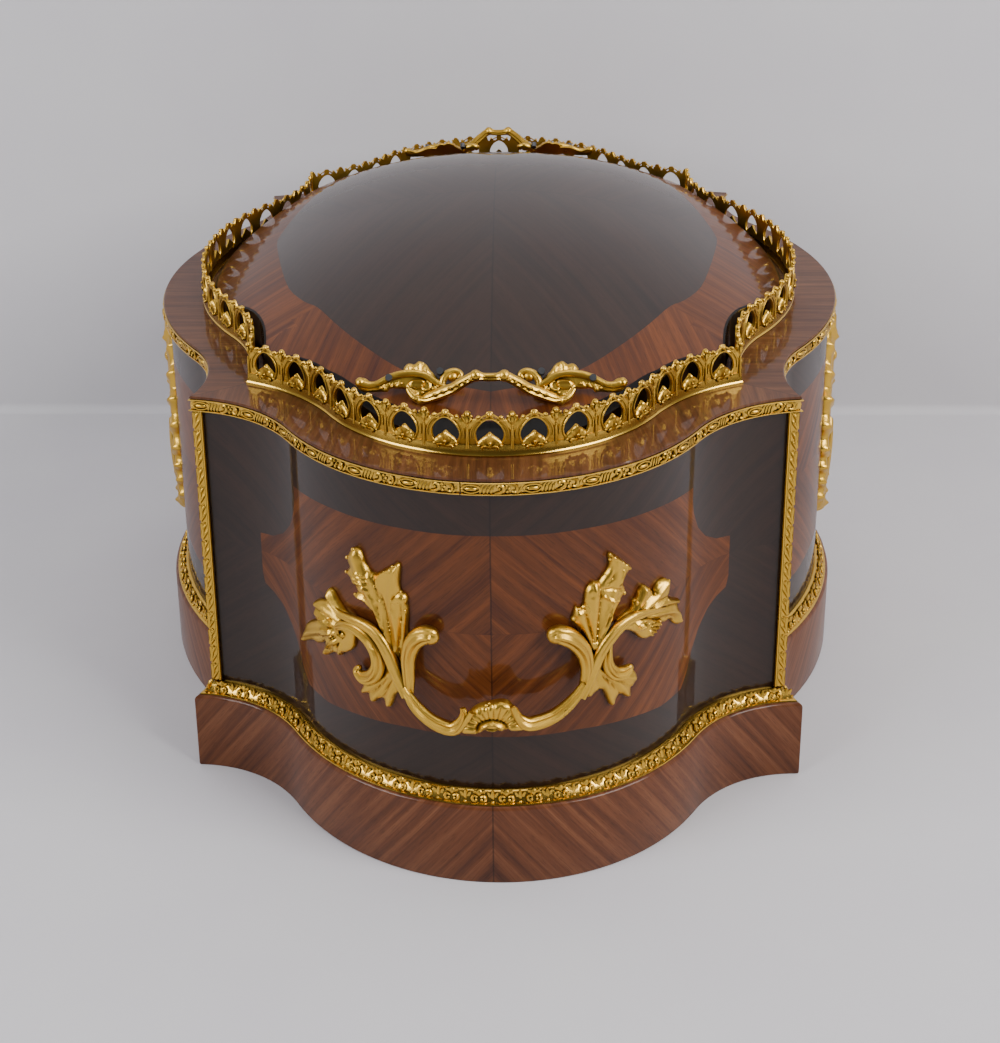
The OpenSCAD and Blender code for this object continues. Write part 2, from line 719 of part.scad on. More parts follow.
// The lid's outline, each corner replaced by a flat cut
function lid_outline(o) =
  [for (k = [FRONT:LEFT])
    let (pts = side_points(k, o), n = len(pts) - 1)
    each [for (i = [0:n])
      let (p = pts[i], near = min(norm(p - pts[0]), norm(p - pts[n])))
      if (near > lid_corner_cut) p]];

module dome() {
  rim_line = lid_outline(lid_o);
  n = len(rim_line);
  low = [for (p = rim_line) [p.x, p.y, lid_z]];
  top = [for (j = [0:DOME_RINGS - 1], p = rim_line)
    let (q = p * (1 - pow(j / DOME_RINGS, 1.2))) [q.x, q.y, dome_z(q)]];
  points = concat(low, top, [[0, 0, dome_z([0, 0])], [0, 0, lid_z]]);
  peak = n * (DOME_RINGS + 1);
  base = peak + 1;
  walls = [for (j = [0:DOME_RINGS - 1], i = [0:n - 1])
    let (a = j * n + i, b = j * n + (i + 1) % n)
    each [[b, a, a + n], [b, a + n, b + n]]];
  caps = [for (i = [0:n - 1])
    let (a = DOME_RINGS * n + i, b = DOME_RINGS * n + (i + 1) % n)
    each [[b, a, peak], [i, (i + 1) % n, base]]];
  polyhedron(points = points, faces = concat(walls, caps));
}

module lid() {
  difference() {
    color(KINGWOOD) dome();
    for (way = [-1, 1], side = [-1, 1], s = LID_SCREWS)
      at_lid_screw(way, side, s)
        translate([0, 0, -s[2] - lid_screw_bite - screw_play])
          cylinder(r = lid_screw_r + GAP, h = dome_h, $fn = 24);
  }
}

// Cleats that drop inside the liner and keep the lid in the middle

module lid_cleats() {
  reach = cleat_y + cleat_w / 2;
  half = face_at(RIGHT, liner_i, reach) - cleat_gap;
  color(OAK)
    for (way = [-1, 1])
      translate([-half, way * cleat_y - cleat_w / 2, lid_z - cleat_t])
        cube([2 * half, cleat_w, cleat_t]);
}

// Lid handles: a bar that bows up between two groups of leaves, screwed on from above

lid_foot_z = dome_z([0, lid_handle_y]);
lid_slope = atan2(dome_z([0, lid_handle_y - 1]) - dome_z([0, lid_handle_y + 1]), 2);
lid_head_r = lid_screw_r * 1.85;
lid_head_t = 1.3;
lid_screw_bite = 5;
// A lug joins the boss of the upper screw to the leaves; the bosses start under the lid's face
lid_lug_w = 3.2;
lid_lug_from = 3;
boss_root = 4;
// Screws of the right half: along the lid, up its slope, seat of the head above it
LID_SCREWS = [[17.4, 13, 1.6], [34.9, 8.3, 4.9]];
// Right half of the bow, which stands square off the lid: along, up, out, radius
LID_BOW = [
  [0, 12.3, 0, 1], [2.5, 12.4, 0, 1], [4.6, 12.8, 0, 1.3], [6.6, 11.7, 0, 1.1], [9.8, 8.9, 0, 1.1],
  [12.7, 6.9, 0, 1.2], [16, 5.2, 0, 1.3], [19.5, 3.4, 0, 1.3], [23, 1.6, 0, 1.2]
];
LID_BOW_H = 12.3;
// Outline of the right group of leaves, which leans inwards: curl, fan, ridge, tip, lower leaves
LID_LEAF = [
  [12.5, 6.4], [10.6, 8], [10.2, 10], [11.2, 11.2], [13.8, 11.3], [15.5, 9.8], [17, 8.2],
  [19.2, 10.2], [20.6, 12.4], [21.8, 14], [23.4, 15], [25, 14.6], [25.8, 13.7], [28.4, 13.8],
  [29.7, 12.4], [31.5, 11.3], [33.3, 10.6], [36, 9.8], [38.2, 9], [40.5, 8.6], [42.4, 9.4],
  [44.2, 9.6], [45.3, 8.2], [44.3, 6], [42.2, 4.7], [40.2, 4.6], [38.3, 4], [36.4, 4.2],
  [34.4, 5.5], [32.7, 5.4], [30.6, 5.8], [29, 4.6], [28, 2.8], [26, 1.7], [24.8, 0.2],
  [23.2, -0.9], [21.8, 0.4], [19.5, 1.9], [16.5, 3.4], [14.3, 5]
];
// Its ridges: along, up, out, radius
LID_RIDGES = [
  [[43.2, 7.6, 0.6, 1.6], [39.6, 6.6, 0.6, 1.5], [35.5, 8.2, 0.8, 1.4], [31, 9.6, 1, 1.4],
    [26.5, 10.2, 1.2, 1.5], [22.5, 9.4, 1.2, 1.5], [19, 6.2, 1, 1.5], [16.5, 5, 0.6, 1.4]],
  [[28.6, 7.4, 0.8, 1], [25.6, 8, 1, 1.2], [23, 7, 1, 1.1], [23, 4.8, 0.8, 1]],
  [[24.6, 11, 0.8, 1.2], [21.8, 12.8, 0.6, 0.9]],
  [[25, 11, 0.8, 1.2], [24, 14, 0.6, 0.9]],
  [[26, 10.8, 0.8, 1.2], [27.8, 12.8, 0.6, 0.9]],
  [[15.5, 6.6, 0.8, 1.2], [13.8, 8.6, 1, 1.4], [11.8, 9.8, 0.8, 1.2]],
  [[37.8, 5, 0.6, 1], [34.4, 6.6, 0.8, 1], [30.6, 7.6, 0.8, 1]],
  [[26.6, 3.6, 0.8, 1.2], [23.6, 1.2, 1, 1.4], [20, 4, 0.8, 1.2]]
];

// A place on a handle, in a plane through its foot line that tilts outwards by an angle
function on_handle(way, tilt, p) = [p[0],
  way * (lid_handle_y + p[1] * sin(tilt) + p[2] * cos(tilt)),
  lid_foot_z + p[1] * cos(tilt) - p[2] * sin(tilt)];

module handle_bar(way, tilt, line, steps, flat) {
  run = smooth(line, steps);
  n = [0, way * cos(tilt), -sin(tilt)];
  bar([for (p = run) on_handle(way, tilt, p)], [for (p = run) n],
    [for (p = run) p[3] * lid_bar_r / 1.5], flat, 6);
}

// Puts children on a handle's foot line, turned about it: X along the lid, Y inwards
module at_handle(way, turn) {
  translate([0, way * lid_handle_y, lid_foot_z])
    rotate([0, 0, way < 0 ? 0 : 180])
      rotate([turn, 0, 0])
        children();
}

module at_lid_screw(way, side, s) {
  at_handle(way, lid_slope)
    translate([side * s[0], s[1], s[2]])
      children();
}

module lid_handle(way) {
  bow = [for (p = LID_BOW) [p[0], p[1] * lid_bar_h / LID_BOW_H, p[2], p[3] * 1.5]];
  difference() {
    color(GILT) {
      handle_bar(way, lid_slope, and_back([for (i = [len(bow) - 1:-1:0]) bow[i]]), 2, 1.35);
      for (side = [-1, 1]) {
        at_handle(way, 90 - lid_leaf_lean)
          linear_extrude(height = lid_leaf_t, center = true)
            polygon([for (p = LID_LEAF) [side * p[0], p[1]]]);
        for (line = LID_RIDGES)
          handle_bar(way, -lid_leaf_lean, side < 0 ? mirrored(line) : line, 2, 0.7);
        for (s = LID_SCREWS)
          at_lid_screw(way, side, s)
            translate([0, 0, -s[2] - boss_root])
              cylinder(r = lid_boss_r, h = s[2] + boss_root, $fn = 24);
        at_handle(way, lid_slope)
          translate([side * LID_SCREWS[0][0] - lid_lug_w / 2, lid_lug_from, -1])
            cube([lid_lug_w, LID_SCREWS[0][1] - lid_lug_from, LID_SCREWS[0][2] + 0.6]);
      }
    }
    dome();
    for (side = [-1, 1], s = LID_SCREWS)
      at_lid_screw(way, side, s) {
        cylinder(r = lid_head_r + screw_play, h = 3 * lid_leaf_t, $fn = 24);
        translate([0, 0, -s[2] - boss_root])
          cylinder(r = lid_screw_r + GAP, h = s[2] + boss_root + 1, $fn = 24);
      }
  }
}

module lid_handle_screws() {
  color(STEEL)
    for (way = [-1, 1], side = [-1, 1], s = LID_SCREWS)
      at_lid_screw(way, side, s) {
        cylinder(r = lid_head_r, h = lid_head_t, $fn = 24);
        translate([0, 0, -s[2] - lid_screw_bite])
          cylinder(r = lid_screw_r, h = s[2] + lid_screw_bite, $fn = 24);
      }
}

plinth(FRONT);  // plinth_front
plinth(RIGHT);  // plinth_right
plinth(BACK);  // plinth_back
plinth(LEFT);  // plinth_left
foot_moulding(FRONT);  // foot_moulding_front
foot_moulding(RIGHT);  // foot_moulding_right
foot_moulding(BACK);  // foot_moulding_back
foot_moulding(LEFT);  // foot_moulding_left
wall(FRONT);  // wall_front
wall(RIGHT);  // wall_right
wall(BACK);  // wall_back
wall(LEFT);  // wall_left
bottom_board();
glue_blocks();
ledge_strips();
rim(FRONT);  // rim_front
rim(RIGHT);  // rim_right
rim(BACK);  // rim_back
rim(LEFT);  // rim_left
band(FRONT);  // band_front
band(RIGHT);  // band_right
band(BACK);  // band_back
band(LEFT);  // band_left
corner_strip(-1, -1);  // corner_strip_front_left
corner_strip(1, -1);  // corner_strip_front_right
corner_strip(1, 1);  // corner_strip_back_right
corner_strip(-1, 1);  // corner_strip_back_left
gallery(FRONT);  // gallery_front
gallery(RIGHT);  // gallery_right
gallery(BACK);  // gallery_back
gallery(LEFT);  // gallery_left
end_handle(FRONT);  // end_handle_front
end_handle(BACK);  // end_handle_back
end_handle_screws();
side_mount(RIGHT);  // side_mount_right
side_mount(LEFT);  // side_mount_left
side_mount_screws();
liner();
lid();
lid_cleats();
lid_handle(-1);  // lid_handle_front
lid_handle(1);  // lid_handle_back
lid_handle_screws();
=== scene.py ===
"""Looks of the serpentine table jardiniere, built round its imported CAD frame.

Lengths inside the classes are in millimetres, as in the part's source. They turn into
metres only where a mesh is made. The plan of every piece is an offset of one outline.
"""
import logging
import math
from dataclasses import dataclass
from enum import Enum
from typing import Callable, Iterable, Sequence

import bmesh
import bpy
import numpy as np
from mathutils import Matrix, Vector, geometry


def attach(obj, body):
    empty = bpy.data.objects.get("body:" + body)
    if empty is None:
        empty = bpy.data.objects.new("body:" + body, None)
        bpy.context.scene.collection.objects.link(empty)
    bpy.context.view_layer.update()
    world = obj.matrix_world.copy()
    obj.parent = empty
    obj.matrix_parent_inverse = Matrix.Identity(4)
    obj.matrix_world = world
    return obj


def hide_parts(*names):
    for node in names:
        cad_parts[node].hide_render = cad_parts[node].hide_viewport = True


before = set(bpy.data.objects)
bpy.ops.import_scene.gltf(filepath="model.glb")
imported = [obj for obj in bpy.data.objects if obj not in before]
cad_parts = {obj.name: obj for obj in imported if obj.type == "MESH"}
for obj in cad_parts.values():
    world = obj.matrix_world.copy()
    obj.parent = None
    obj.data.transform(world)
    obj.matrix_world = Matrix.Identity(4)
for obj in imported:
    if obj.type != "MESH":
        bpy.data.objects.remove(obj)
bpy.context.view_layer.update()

LOG = logging.getLogger("jardiniere")
MM = 0.001
# Distance to a joint that is too far for the joint to show
NO_SEAM = 9.0
# Places of the cuts at a joint: on it and beside it, so that its dark line stays thin
JOINT_CUTS = (-0.5, 0.0, 0.5)
# Shift of the wood's figure from one side of the box to the next
SIDE_DRIFT = 40.0

Point2 = tuple[float, float]
Point3 = tuple[float, float, float]
Place = Callable[[float, float, float], Point3]
Material = bpy.types.Material
Object = bpy.types.Object
Socket = bpy.types.NodeSocket
Tree = bpy.types.NodeTree


class Side(Enum):
    """The four sides of the box, anticlockwise seen from above."""

    FRONT = 0
    RIGHT = 1
    BACK = 2
    LEFT = 3

    @property
    def label(self) -> str:
        """The side's name in the CAD node names."""
        return self.name.lower()

    @property
    def is_end(self) -> bool:
        """True for the two short ends."""
        return self.value % 2 == 0


# Plan outline


@dataclass(frozen=True)
class Arcs:
    """The arcs of one side: a bulge in the middle and a hollow on each side of it."""

    bulge_r: float
    bulge_a: float
    bulge_v: float
    hollow_r: float
    hollow_u: float
    hollow_v: float


@dataclass(frozen=True)
class Station:
    """A place on a side's face, with its outward normal and its distance from the middle."""

    x: float
    y: float
    nx: float
    ny: float
    s: float


@dataclass(frozen=True)
class Outline:
    """The serpentine plan of the rim's edge. Other pieces are offsets of it."""

    corner_x: float = 110.0
    corner_y: float = 119.0
    end_bulge_r: float = 83.0
    end_bulge_deg: float = 59.0
    end_hollow_r: float = 51.5
    side_bulge_r: float = 123.0
    side_bulge_deg: float = 36.3
    side_hollow_r: float = 47.5
    bulge_share: float = 0.6

    def arcs(self, side: Side) -> Arcs:
        """Works out a side's arcs.

        Args:
            side: the side.
        Returns:
            Its radii, angle in radians and centres.
        """
        if side.is_end:
            near, far, rb, deg, rh = (self.corner_x, self.corner_y, self.end_bulge_r,
                                      self.end_bulge_deg, self.end_hollow_r)
        else:
            near, far, rb, deg, rh = (self.corner_y, self.corner_x, self.side_bulge_r,
                                      self.side_bulge_deg, self.side_hollow_r)
        angle = math.radians(deg)
        hollow_u = (rb + rh) * math.sin(angle)
        hollow_v = far + rh * math.cos(math.asin((near - hollow_u) / rh))
        return Arcs(rb, angle, hollow_v - (rb + rh) * math.cos(angle), rh, hollow_u, hollow_v)

    def corner(self, offset: float) -> Point2:
        """Where the hollows of an end and a side cross.

        Args:
            offset: distance outside the rim's edge.
        Returns:
            The corner in the first quadrant.
        """
        end, side = self.arcs(Side.FRONT), self.arcs(Side.RIGHT)
        a, b = Vector((end.hollow_u, end.hollow_v)), Vector((side.hollow_v, side.hollow_u))
        ra, rb = end.hollow_r - offset, side.hollow_r - offset
        gap = (b - a).length
        along = (ra * ra - rb * rb + gap * gap) / (2 * gap)
        half = math.sqrt(ra * ra - along * along)
        e = (b - a).normalized()
        found = [a + e * along + Vector((-e.y, e.x)) * half * w for w in (1, -1)]
        best = min(found, key=lambda p: p.length)
        return best.x, best.y

    def hollow_end(self, side: Side, offset: float) -> float:
        """Angle of the hollow's arc at the mitre.

        Args:
            side: the side.
            offset: distance outside the rim's edge.
        Returns:
            The angle in radians.
        """
        arcs, c = self.arcs(side), self.corner(offset)
        u, v = c if side.is_end else (c[1], c[0])
        return math.atan2(arcs.hollow_u - u, arcs.hollow_v - v)

    def half_length(self, side: Side, offset: float) -> float:
        """Length of half a side's face, from its middle to the mitre.

        Args:
            side: the side.
            offset: distance outside the rim's edge.
        Returns:
            The length.
        """
        arcs = self.arcs(side)
        return ((arcs.bulge_r + offset) * arcs.bulge_a
                + (arcs.hollow_r - offset) * (arcs.bulge_a - self.hollow_end(side, offset)))

    def at_length(self, side: Side, offset: float, s: float) -> Station:
        """The place at a distance along a side's face.

        Args:
            side: the side.
            offset: distance outside the rim's edge.
            s: distance from the side's middle, positive to the right seen from outside.
        Returns:
            The station.
        """
        arcs, way, q = self.arcs(side), math.copysign(1.0, s), abs(s)
        rb, rh = arcs.bulge_r + offset, arcs.hollow_r - offset
        if q <= rb * arcs.bulge_a:
            a = q / rb
            u, v = rb * math.sin(a), arcs.bulge_v + rb * math.cos(a)
        else:
            a = arcs.bulge_a - (q - rb * arcs.bulge_a) / rh
            u, v = arcs.hollow_u - rh * math.sin(a), arcs.hollow_v - rh * math.cos(a)
        x, y = self._to_plan(side, way * u, v)
        nx, ny = self._to_plan(side, way * math.sin(a), math.cos(a))
        return Station(x, y, nx, ny, s)

    def at_share(self, side: Side, offset: float, f: float) -> Station:
        """The place at a share of the way from a side's middle to a mitre.

        Args:
            side: the side.
            offset: distance outside the rim's edge.
            f: the share, -1 at the left mitre and 1 at the right one.
        Returns:
            The station.
        """
        arcs, q = self.arcs(side), abs(f)
        bulge = (arcs.bulge_r + offset) * arcs.bulge_a
        whole = self.half_length(side, offset)
        if q <= self.bulge_share:
            s = bulge * q / self.bulge_share
        else:
            s = bulge + (whole - bulge) * (q - self.bulge_share) / (1 - self.bulge_share)
        return self.at_length(side, offset, math.copysign(min(s, whole), f))

    def wrap(self, side: Side, offset: float, co: np.ndarray) -> np.ndarray:
        """Bends a straight row onto a side.

        Args:
            side: the side.
            offset: distance of the row outside the rim's edge.
            co: places with X along the row, Z up and outwards along -Y.
        Returns:
            The places in the plan.
        """
        arcs, q, way, out = self.arcs(side), np.abs(co[:, 0]), np.sign(co[:, 0]), -co[:, 1]
        rb, rh = arcs.bulge_r + offset, arcs.hollow_r - offset
        on = q <= rb * arcs.bulge_a
        a = np.where(on, q / rb, arcs.bulge_a - (q - rb * arcs.bulge_a) / rh)
        u = np.where(on, rb * np.sin(a), arcs.hollow_u - rh * np.sin(a)) + np.sin(a) * out
        v = np.where(on, arcs.bulge_v + rb * np.cos(a), arcs.hollow_v - rh * np.cos(a))
        x, y = self._to_plan(side, way * u, v + np.cos(a) * out)
        return np.stack([x, y, co[:, 2]], axis=1)

    def wall_place(self, side: Side, face: float, reach: float) -> Place:
        """How a drawing lies on a wall.

        Args:
            side: the wall's side.
            face: offset of the wall's face.
            reach: the most that the drawing may stand out.
        Returns:
            A function of distance along the wall, height and distance from it.
        """
        def place(u: float, v: float, h: float) -> Point3:
            """Puts a drawn point on the wall."""
            p = self.at_length(side, face, u)
            h = min(max(h, 0.0), reach)
            return (p.x + p.nx * h, p.y + p.ny * h, v)

        return place

    @staticmethod
    def _to_plan(side: Side, u: float, v: float) -> Point2:
        """Turns a side's own u (along) and v (outwards) into the plan."""
        return {Side.FRONT: (u, -v), Side.RIGHT: (v, u), Side.BACK: (-u, v), Side.LEFT: (-v, -u)}[side]


# Meshes


class MeshBuilder:
    """Collects vertices and faces in millimetres and turns them into one object."""

    def __init__(self) -> None:
        """Starts with nothing."""
        self.co: list[Point3] = []
        self.grain: list[Point3] = []
        self.seam: list[float] = []
        self.normals: list[Point3 | None] = []
        self.faces: list[tuple[int, ...]] = []
        self.slots: list[int] = []
        self.laid: dict[tuple, int] = {}

    def vertex(self, co: Point3, grain: Point3 = (0, 0, 0), seam: float = NO_SEAM,
               normal: Point3 | None = None) -> int:
        """Adds a vertex.

        Args:
            co: place in mm.
            grain: wood's own coordinates in mm, X along the fibres.
            seam: distance to the nearest joint between veneers in mm.
            normal: exact normal, where it is known.
        Returns:
            Its index.
        """
        self.co.append(co)
        self.grain.append(grain)
        self.seam.append(seam)
        self.normals.append(normal)
        return len(self.co) - 1

    def face(self, ids: Sequence[int], slot: int = 0) -> None:
        """Adds a face with a material slot."""
        self.faces.append(tuple(ids))
        self.slots.append(slot)

    def lay(self, corners: Sequence[Point2], leaf: tuple, add: Callable[[float, float], int],
            slot: int) -> None:
        """Adds a triangle of veneer. Its corners are shared only within its own leaf.

        Args:
            corners: its corners on the flat sheet.
            leaf: what tells its leaf of veneer from the others.
            add: adds the vertex of a place on the sheet.
            slot: material slot.
        """
        keys = [(round(p[0], 3), round(p[1], 3), leaf) for p in corners]
        for key, p in zip(keys, corners):
            if key not in self.laid:
                self.laid[key] = add(*p)
        self.face([self.laid[key] for key in keys], slot)

    def grid(self, rows: Sequence[Sequence[int]], wrap: bool = False) -> None:
        """Joins rows of vertices by quads.

        Args:
            rows: the vertices, as many in each row.
            wrap: closes each row.
        """
        for low, high in zip(rows, rows[1:]):
            n = len(low)
            for i in range(n if wrap else n - 1):
                j = (i + 1) % n
                self.face((low[i], low[j], high[j], high[i]))

    def loft(self, rings: Sequence[Sequence[Point3]]) -> None:
        """Adds a closed body.

        Args:
            rings: its sections, as many points in each; a fan closes both ends.
        """
        rows = [[self.vertex(p) for p in ring] for ring in rings]
        self.grid(rows, wrap=True)
        for row, ring, way in ((rows[0], rings[0], -1), (rows[-1], rings[-1], 1)):
            n = len(ring)
            mid = self.vertex(tuple(sum(p[k] for p in ring) / n for k in range(3)))
            for i in range(n):
                pair = (row[i], row[(i + 1) % n])
                self.face((*(pair if way > 0 else pair[::-1]), mid))

    def build(self, name: str, materials: Sequence[Material],
              sharp_deg: float = 35.0) -> Object:
        """Makes the object at the origin.

        Args:
            name: the piece's name.
            materials: its material slots in order.
            sharp_deg: edges sharper than this keep a hard shading edge.
        Returns:
            The object, linked to the scene.
        """
        mesh = bpy.data.meshes.new(name)
        mesh.from_pydata([tuple(c * MM for c in p) for p in self.co], [], self.faces)
        for material in materials:
            mesh.materials.append(material)
        mesh.polygons.foreach_set("material_index", self.slots)
        exact = all(n is not None for n in self.normals)
        self._orient(mesh, exact)
        grain = mesh.attributes.new("grain", "FLOAT_VECTOR", "POINT")
        grain.data.foreach_set("vector", [c for p in self.grain for c in p])
        seam = mesh.attributes.new("seam", "FLOAT", "POINT")
        seam.data.foreach_set("value", self.seam)
        mesh.polygons.foreach_set("use_smooth", [True] * len(mesh.polygons))
        if exact:
            mesh.normals_split_custom_set_from_vertices(self.normals)
        else:
            mesh.set_sharp_from_angle(angle=math.radians(sharp_deg))
        obj = bpy.data.objects.new(name, mesh)
        bpy.context.scene.collection.objects.link(obj)
        return obj

    def _orient(self, mesh: bpy.types.Mesh, exact: bool) -> None:
        """Turns faces outwards.

        Args:
            mesh: the new mesh.
            exact: goes by the given normals; otherwise the mesh is made of closed bodies.
        """
        edit = bmesh.new()
        edit.from_mesh(mesh)
        if exact:
            edit.verts.ensure_lookup_table()
            wrong = []
            for face in edit.faces:
                face.normal_update()
                want = sum((Vector(self.normals[v.index]) for v in face.verts), Vector())
                if face.normal.dot(want) < 0:
                    wrong.append(face)
            bmesh.ops.reverse_faces(edit, faces=wrong)
        else:
            bmesh.ops.recalc_face_normals(edit, faces=edit.faces)
        edit.to_mesh(mesh)
        edit.free()


def spline(rows: Iterable[Sequence[float]], t: float) -> tuple[float, ...]:
    """The Catmull-Rom place at a share t between the second and third of four rows."""
    return tuple(0.5 * (2 * q + (r - p) * t + (2 * p - 5 * q + 4 * r - s) * t * t
                        + (3 * q - p - 3 * r + s) * t ** 3) for p, q, r, s in zip(*rows))


def smooth_line(points: Sequence[Sequence[float]], steps: int) -> list[tuple[float, ...]]:
    """A smooth open line.

    Args:
        points: rows of numbers of any length.
        steps: places between two rows.
    Returns:
        The places, the last point included.
    """
    line = []
    for i in range(len(points) - 1):
        rows = (points[max(i - 1, 0)], points[i], points[i + 1], points[min(i + 2, len(points) - 1)])
        line += [spline(rows, j / steps) for j in range(steps)]
    return [*line, tuple(points[-1])]


def closed_line(points: Sequence[Point2], step: float) -> list[Point2]:
    """A smooth closed line.

    Args:
        points: drawn points round it.
        step: about how far its places lie apart.
    Returns:
        The places.
    """
    n = len(points)
    line = []
    for i in range(n):
        rows = [points[(i + k) % n] for k in (-1, 0, 1, 2)]
        count = max(1, round(math.dist(rows[1], rows[2]) / step))
        line += [spline(rows, j / count) for j in range(count)]
    return line


def middle(corners: Sequence[Point2]) -> Point2:
    """The middle of a flat triangle."""
    return sum(p[0] for p in corners) / 3, sum(p[1] for p in corners) / 3


def joined(loops: Iterable[Sequence[Point2]]) -> tuple[list[Vector], list[tuple[int, int]]]:
    """Gathers closed lines.

    Args:
        loops: the points round each line.
    Returns:
        All points, and the edges between them.
    """
    points: list[Vector] = []
    edges: list[tuple[int, int]] = []
    for loop in loops:
        start = len(points)
        points += [Vector(p) for p in loop]
        edges += [(start + i, start + (i + 1) % len(loop)) for i in range(len(loop))]
    return points, edges


def turned(u: float, v: float, deg: float, drift: float) -> Point3:
    """The wood's own coordinates, where its fibres stand at an angle to u."""
    turn = math.radians(deg)
    return (u * math.cos(turn) + v * math.sin(turn), -u * math.sin(turn) + v * math.cos(turn), drift)


# Finishes


def srgb(code: str) -> tuple[float, float, float, float]:
    """An sRGB hex colour as linear RGBA."""
    parts = [int(code[i:i + 2], 16) / 255 for i in (1, 3, 5)]
    return (*[c / 12.92 if c <= 0.04045 else ((c + 0.055) / 1.055) ** 2.4 for c in parts], 1.0)


def add_node(tree: Tree, kind: str, inputs: dict[str | int, object] | None = None,
             **settings: object) -> bpy.types.Node:
    """Adds a node.

    Args:
        tree: the node tree.
        kind: the node's type name.
        inputs: a value or an output socket for each input.
        **settings: the node's own properties.
    Returns:
        The node.
    """
    node = tree.nodes.new(kind)
    for key, value in settings.items():
        setattr(node, key, value)
    for key, value in (inputs or {}).items():
        if isinstance(value, Socket):
            tree.links.new(value, node.inputs[key])
        else:
            node.inputs[key].default_value = value
    return node


def new_material(name: str) -> tuple[Material, Tree]:
    """An empty node material.

    Args:
        name: the material's name.
    Returns:
        The material and its node tree.
    """
    material = bpy.data.materials.new(name)
    material.use_nodes = True
    material.node_tree.nodes.clear()
    return material, material.node_tree


def calc(tree: Tree, operation: str, *values: object) -> Socket:
    """The result of a math node."""
    return add_node(tree, "ShaderNodeMath", dict(enumerate(values)), operation=operation).outputs[0]


def rescale(tree: Tree, value: Socket, span: Point2, onto: Point2 = (0.0, 1.0)) -> Socket:
    """Turns a span of values into another one."""
    ends = {"From Min": span[0], "From Max": span[1], "To Min": onto[0], "To Max": onto[1]}
    return add_node(tree, "ShaderNodeMapRange", {"Value": value, **ends}).outputs[0]


def noise(tree: Tree, place: Socket, scale: float, detail: float, warp: float = 0.0) -> Socket:
    """Smooth noise."""
    values = {"Vector": place, "Scale": scale, "Detail": detail, "Distortion": warp}
    return add_node(tree, "ShaderNodeTexNoise", values).outputs[0]


def ramp(tree: Tree, factor: Socket, stops: Sequence[tuple[float, str]]) -> Socket:
    """A colour ramp.

    Args:
        tree: the node tree.
        factor: where on the ramp.
        stops: places and sRGB colours.
    Returns:
        The colour.
    """
    node = add_node(tree, "ShaderNodeValToRGB", {0: factor})
    elements = node.color_ramp.elements
    while len(elements) < len(stops):
        elements.new(0.5)
    for element, (at, code) in zip(elements, stops):
        element.position = at
        element.color = srgb(code)
    return node.outputs[0]


@dataclass(frozen=True)
class Veneer:
    """French-polished veneer. The fibres run along the X of the grain attribute."""

    name: str
    dark: str
    mid: str
    light: str
    stripe_mm: float
    length_mm: float = 90.0
    coat: float = 0.45
    fibre_mm: Point2 = (30.0, 0.7)
    pore_mm: Point2 = (5.0, 0.28)
    cloud_mm: Point2 = (60.0, 28.0)
    fibre_share: float = 0.28
    streak_share: float = 0.9
    cloud_share: float = 0.35
    joint_mm: Point2 = (0.16, 0.38)
    joint_shade: float = 0.42
    pore_shade: float = 0.72

    def material(self) -> Material:
        """Builds the material.

        Returns:
            A material with streaks, fibres, pores, veneer joints and a clear coat.
        """
        material, tree = new_material(self.name)
        grain = add_node(tree, "ShaderNodeAttribute", attribute_name="grain").outputs["Vector"]

        def figure(size: Point2, detail: float, warp: float = 0.0) -> Socket:
            """Noise of a length and width in mm along and across the fibres."""
            scale = (1 / size[0], 1 / size[1], 1.0)
            scaled = add_node(tree, "ShaderNodeMapping", {"Vector": grain, "Scale": scale})
            return noise(tree, scaled.outputs[0], 1.0, detail, warp)

        streak = figure((self.length_mm, self.stripe_mm), 4.0, 0.5)
        blend = calc(tree, "MULTIPLY", figure(self.fibre_mm, 3.0), self.fibre_share)
        blend = calc(tree, "MULTIPLY_ADD", streak, self.streak_share, blend)
        blend = calc(tree, "MULTIPLY_ADD", figure(self.cloud_mm, 1.0, 0.2), self.cloud_share, blend)
        colour = ramp(tree, rescale(tree, blend, (0.5, 1.02)),
                      [(0.0, self.dark), (0.5, self.mid), (1.0, self.light)])
        dots = rescale(tree, figure(self.pore_mm, 1.0), (0.34, 0.44), (self.pore_shade, 1.0))
        seam = add_node(tree, "ShaderNodeAttribute", attribute_name="seam").outputs["Fac"]
        joint = rescale(tree, seam, self.joint_mm, (self.joint_shade, 1.0))
        colour = add_node(tree, "ShaderNodeVectorMath",
                          {0: colour, "Scale": calc(tree, "MULTIPLY", dots, joint)},
                          operation="SCALE").outputs[0]
        coords = add_node(tree, "ShaderNodeTexCoord").outputs["Object"]
        bump = add_node(tree, "ShaderNodeBump",
                        {"Height": noise(tree, coords, 90.0, 2.0), "Strength": 0.05, "Distance": 0.001})
        shader = add_node(tree, "ShaderNodeBsdfPrincipled",
                          {"Base Color": colour, "Roughness": 0.5, "Specular IOR Level": 0.12,
                           "Coat Weight": self.coat, "Coat Roughness": 0.05, "Coat IOR": 1.45,
                           "Coat Normal": bump.outputs[0]})
        add_node(tree, "ShaderNodeOutputMaterial", {"Surface": shader.outputs[0]})
        return material


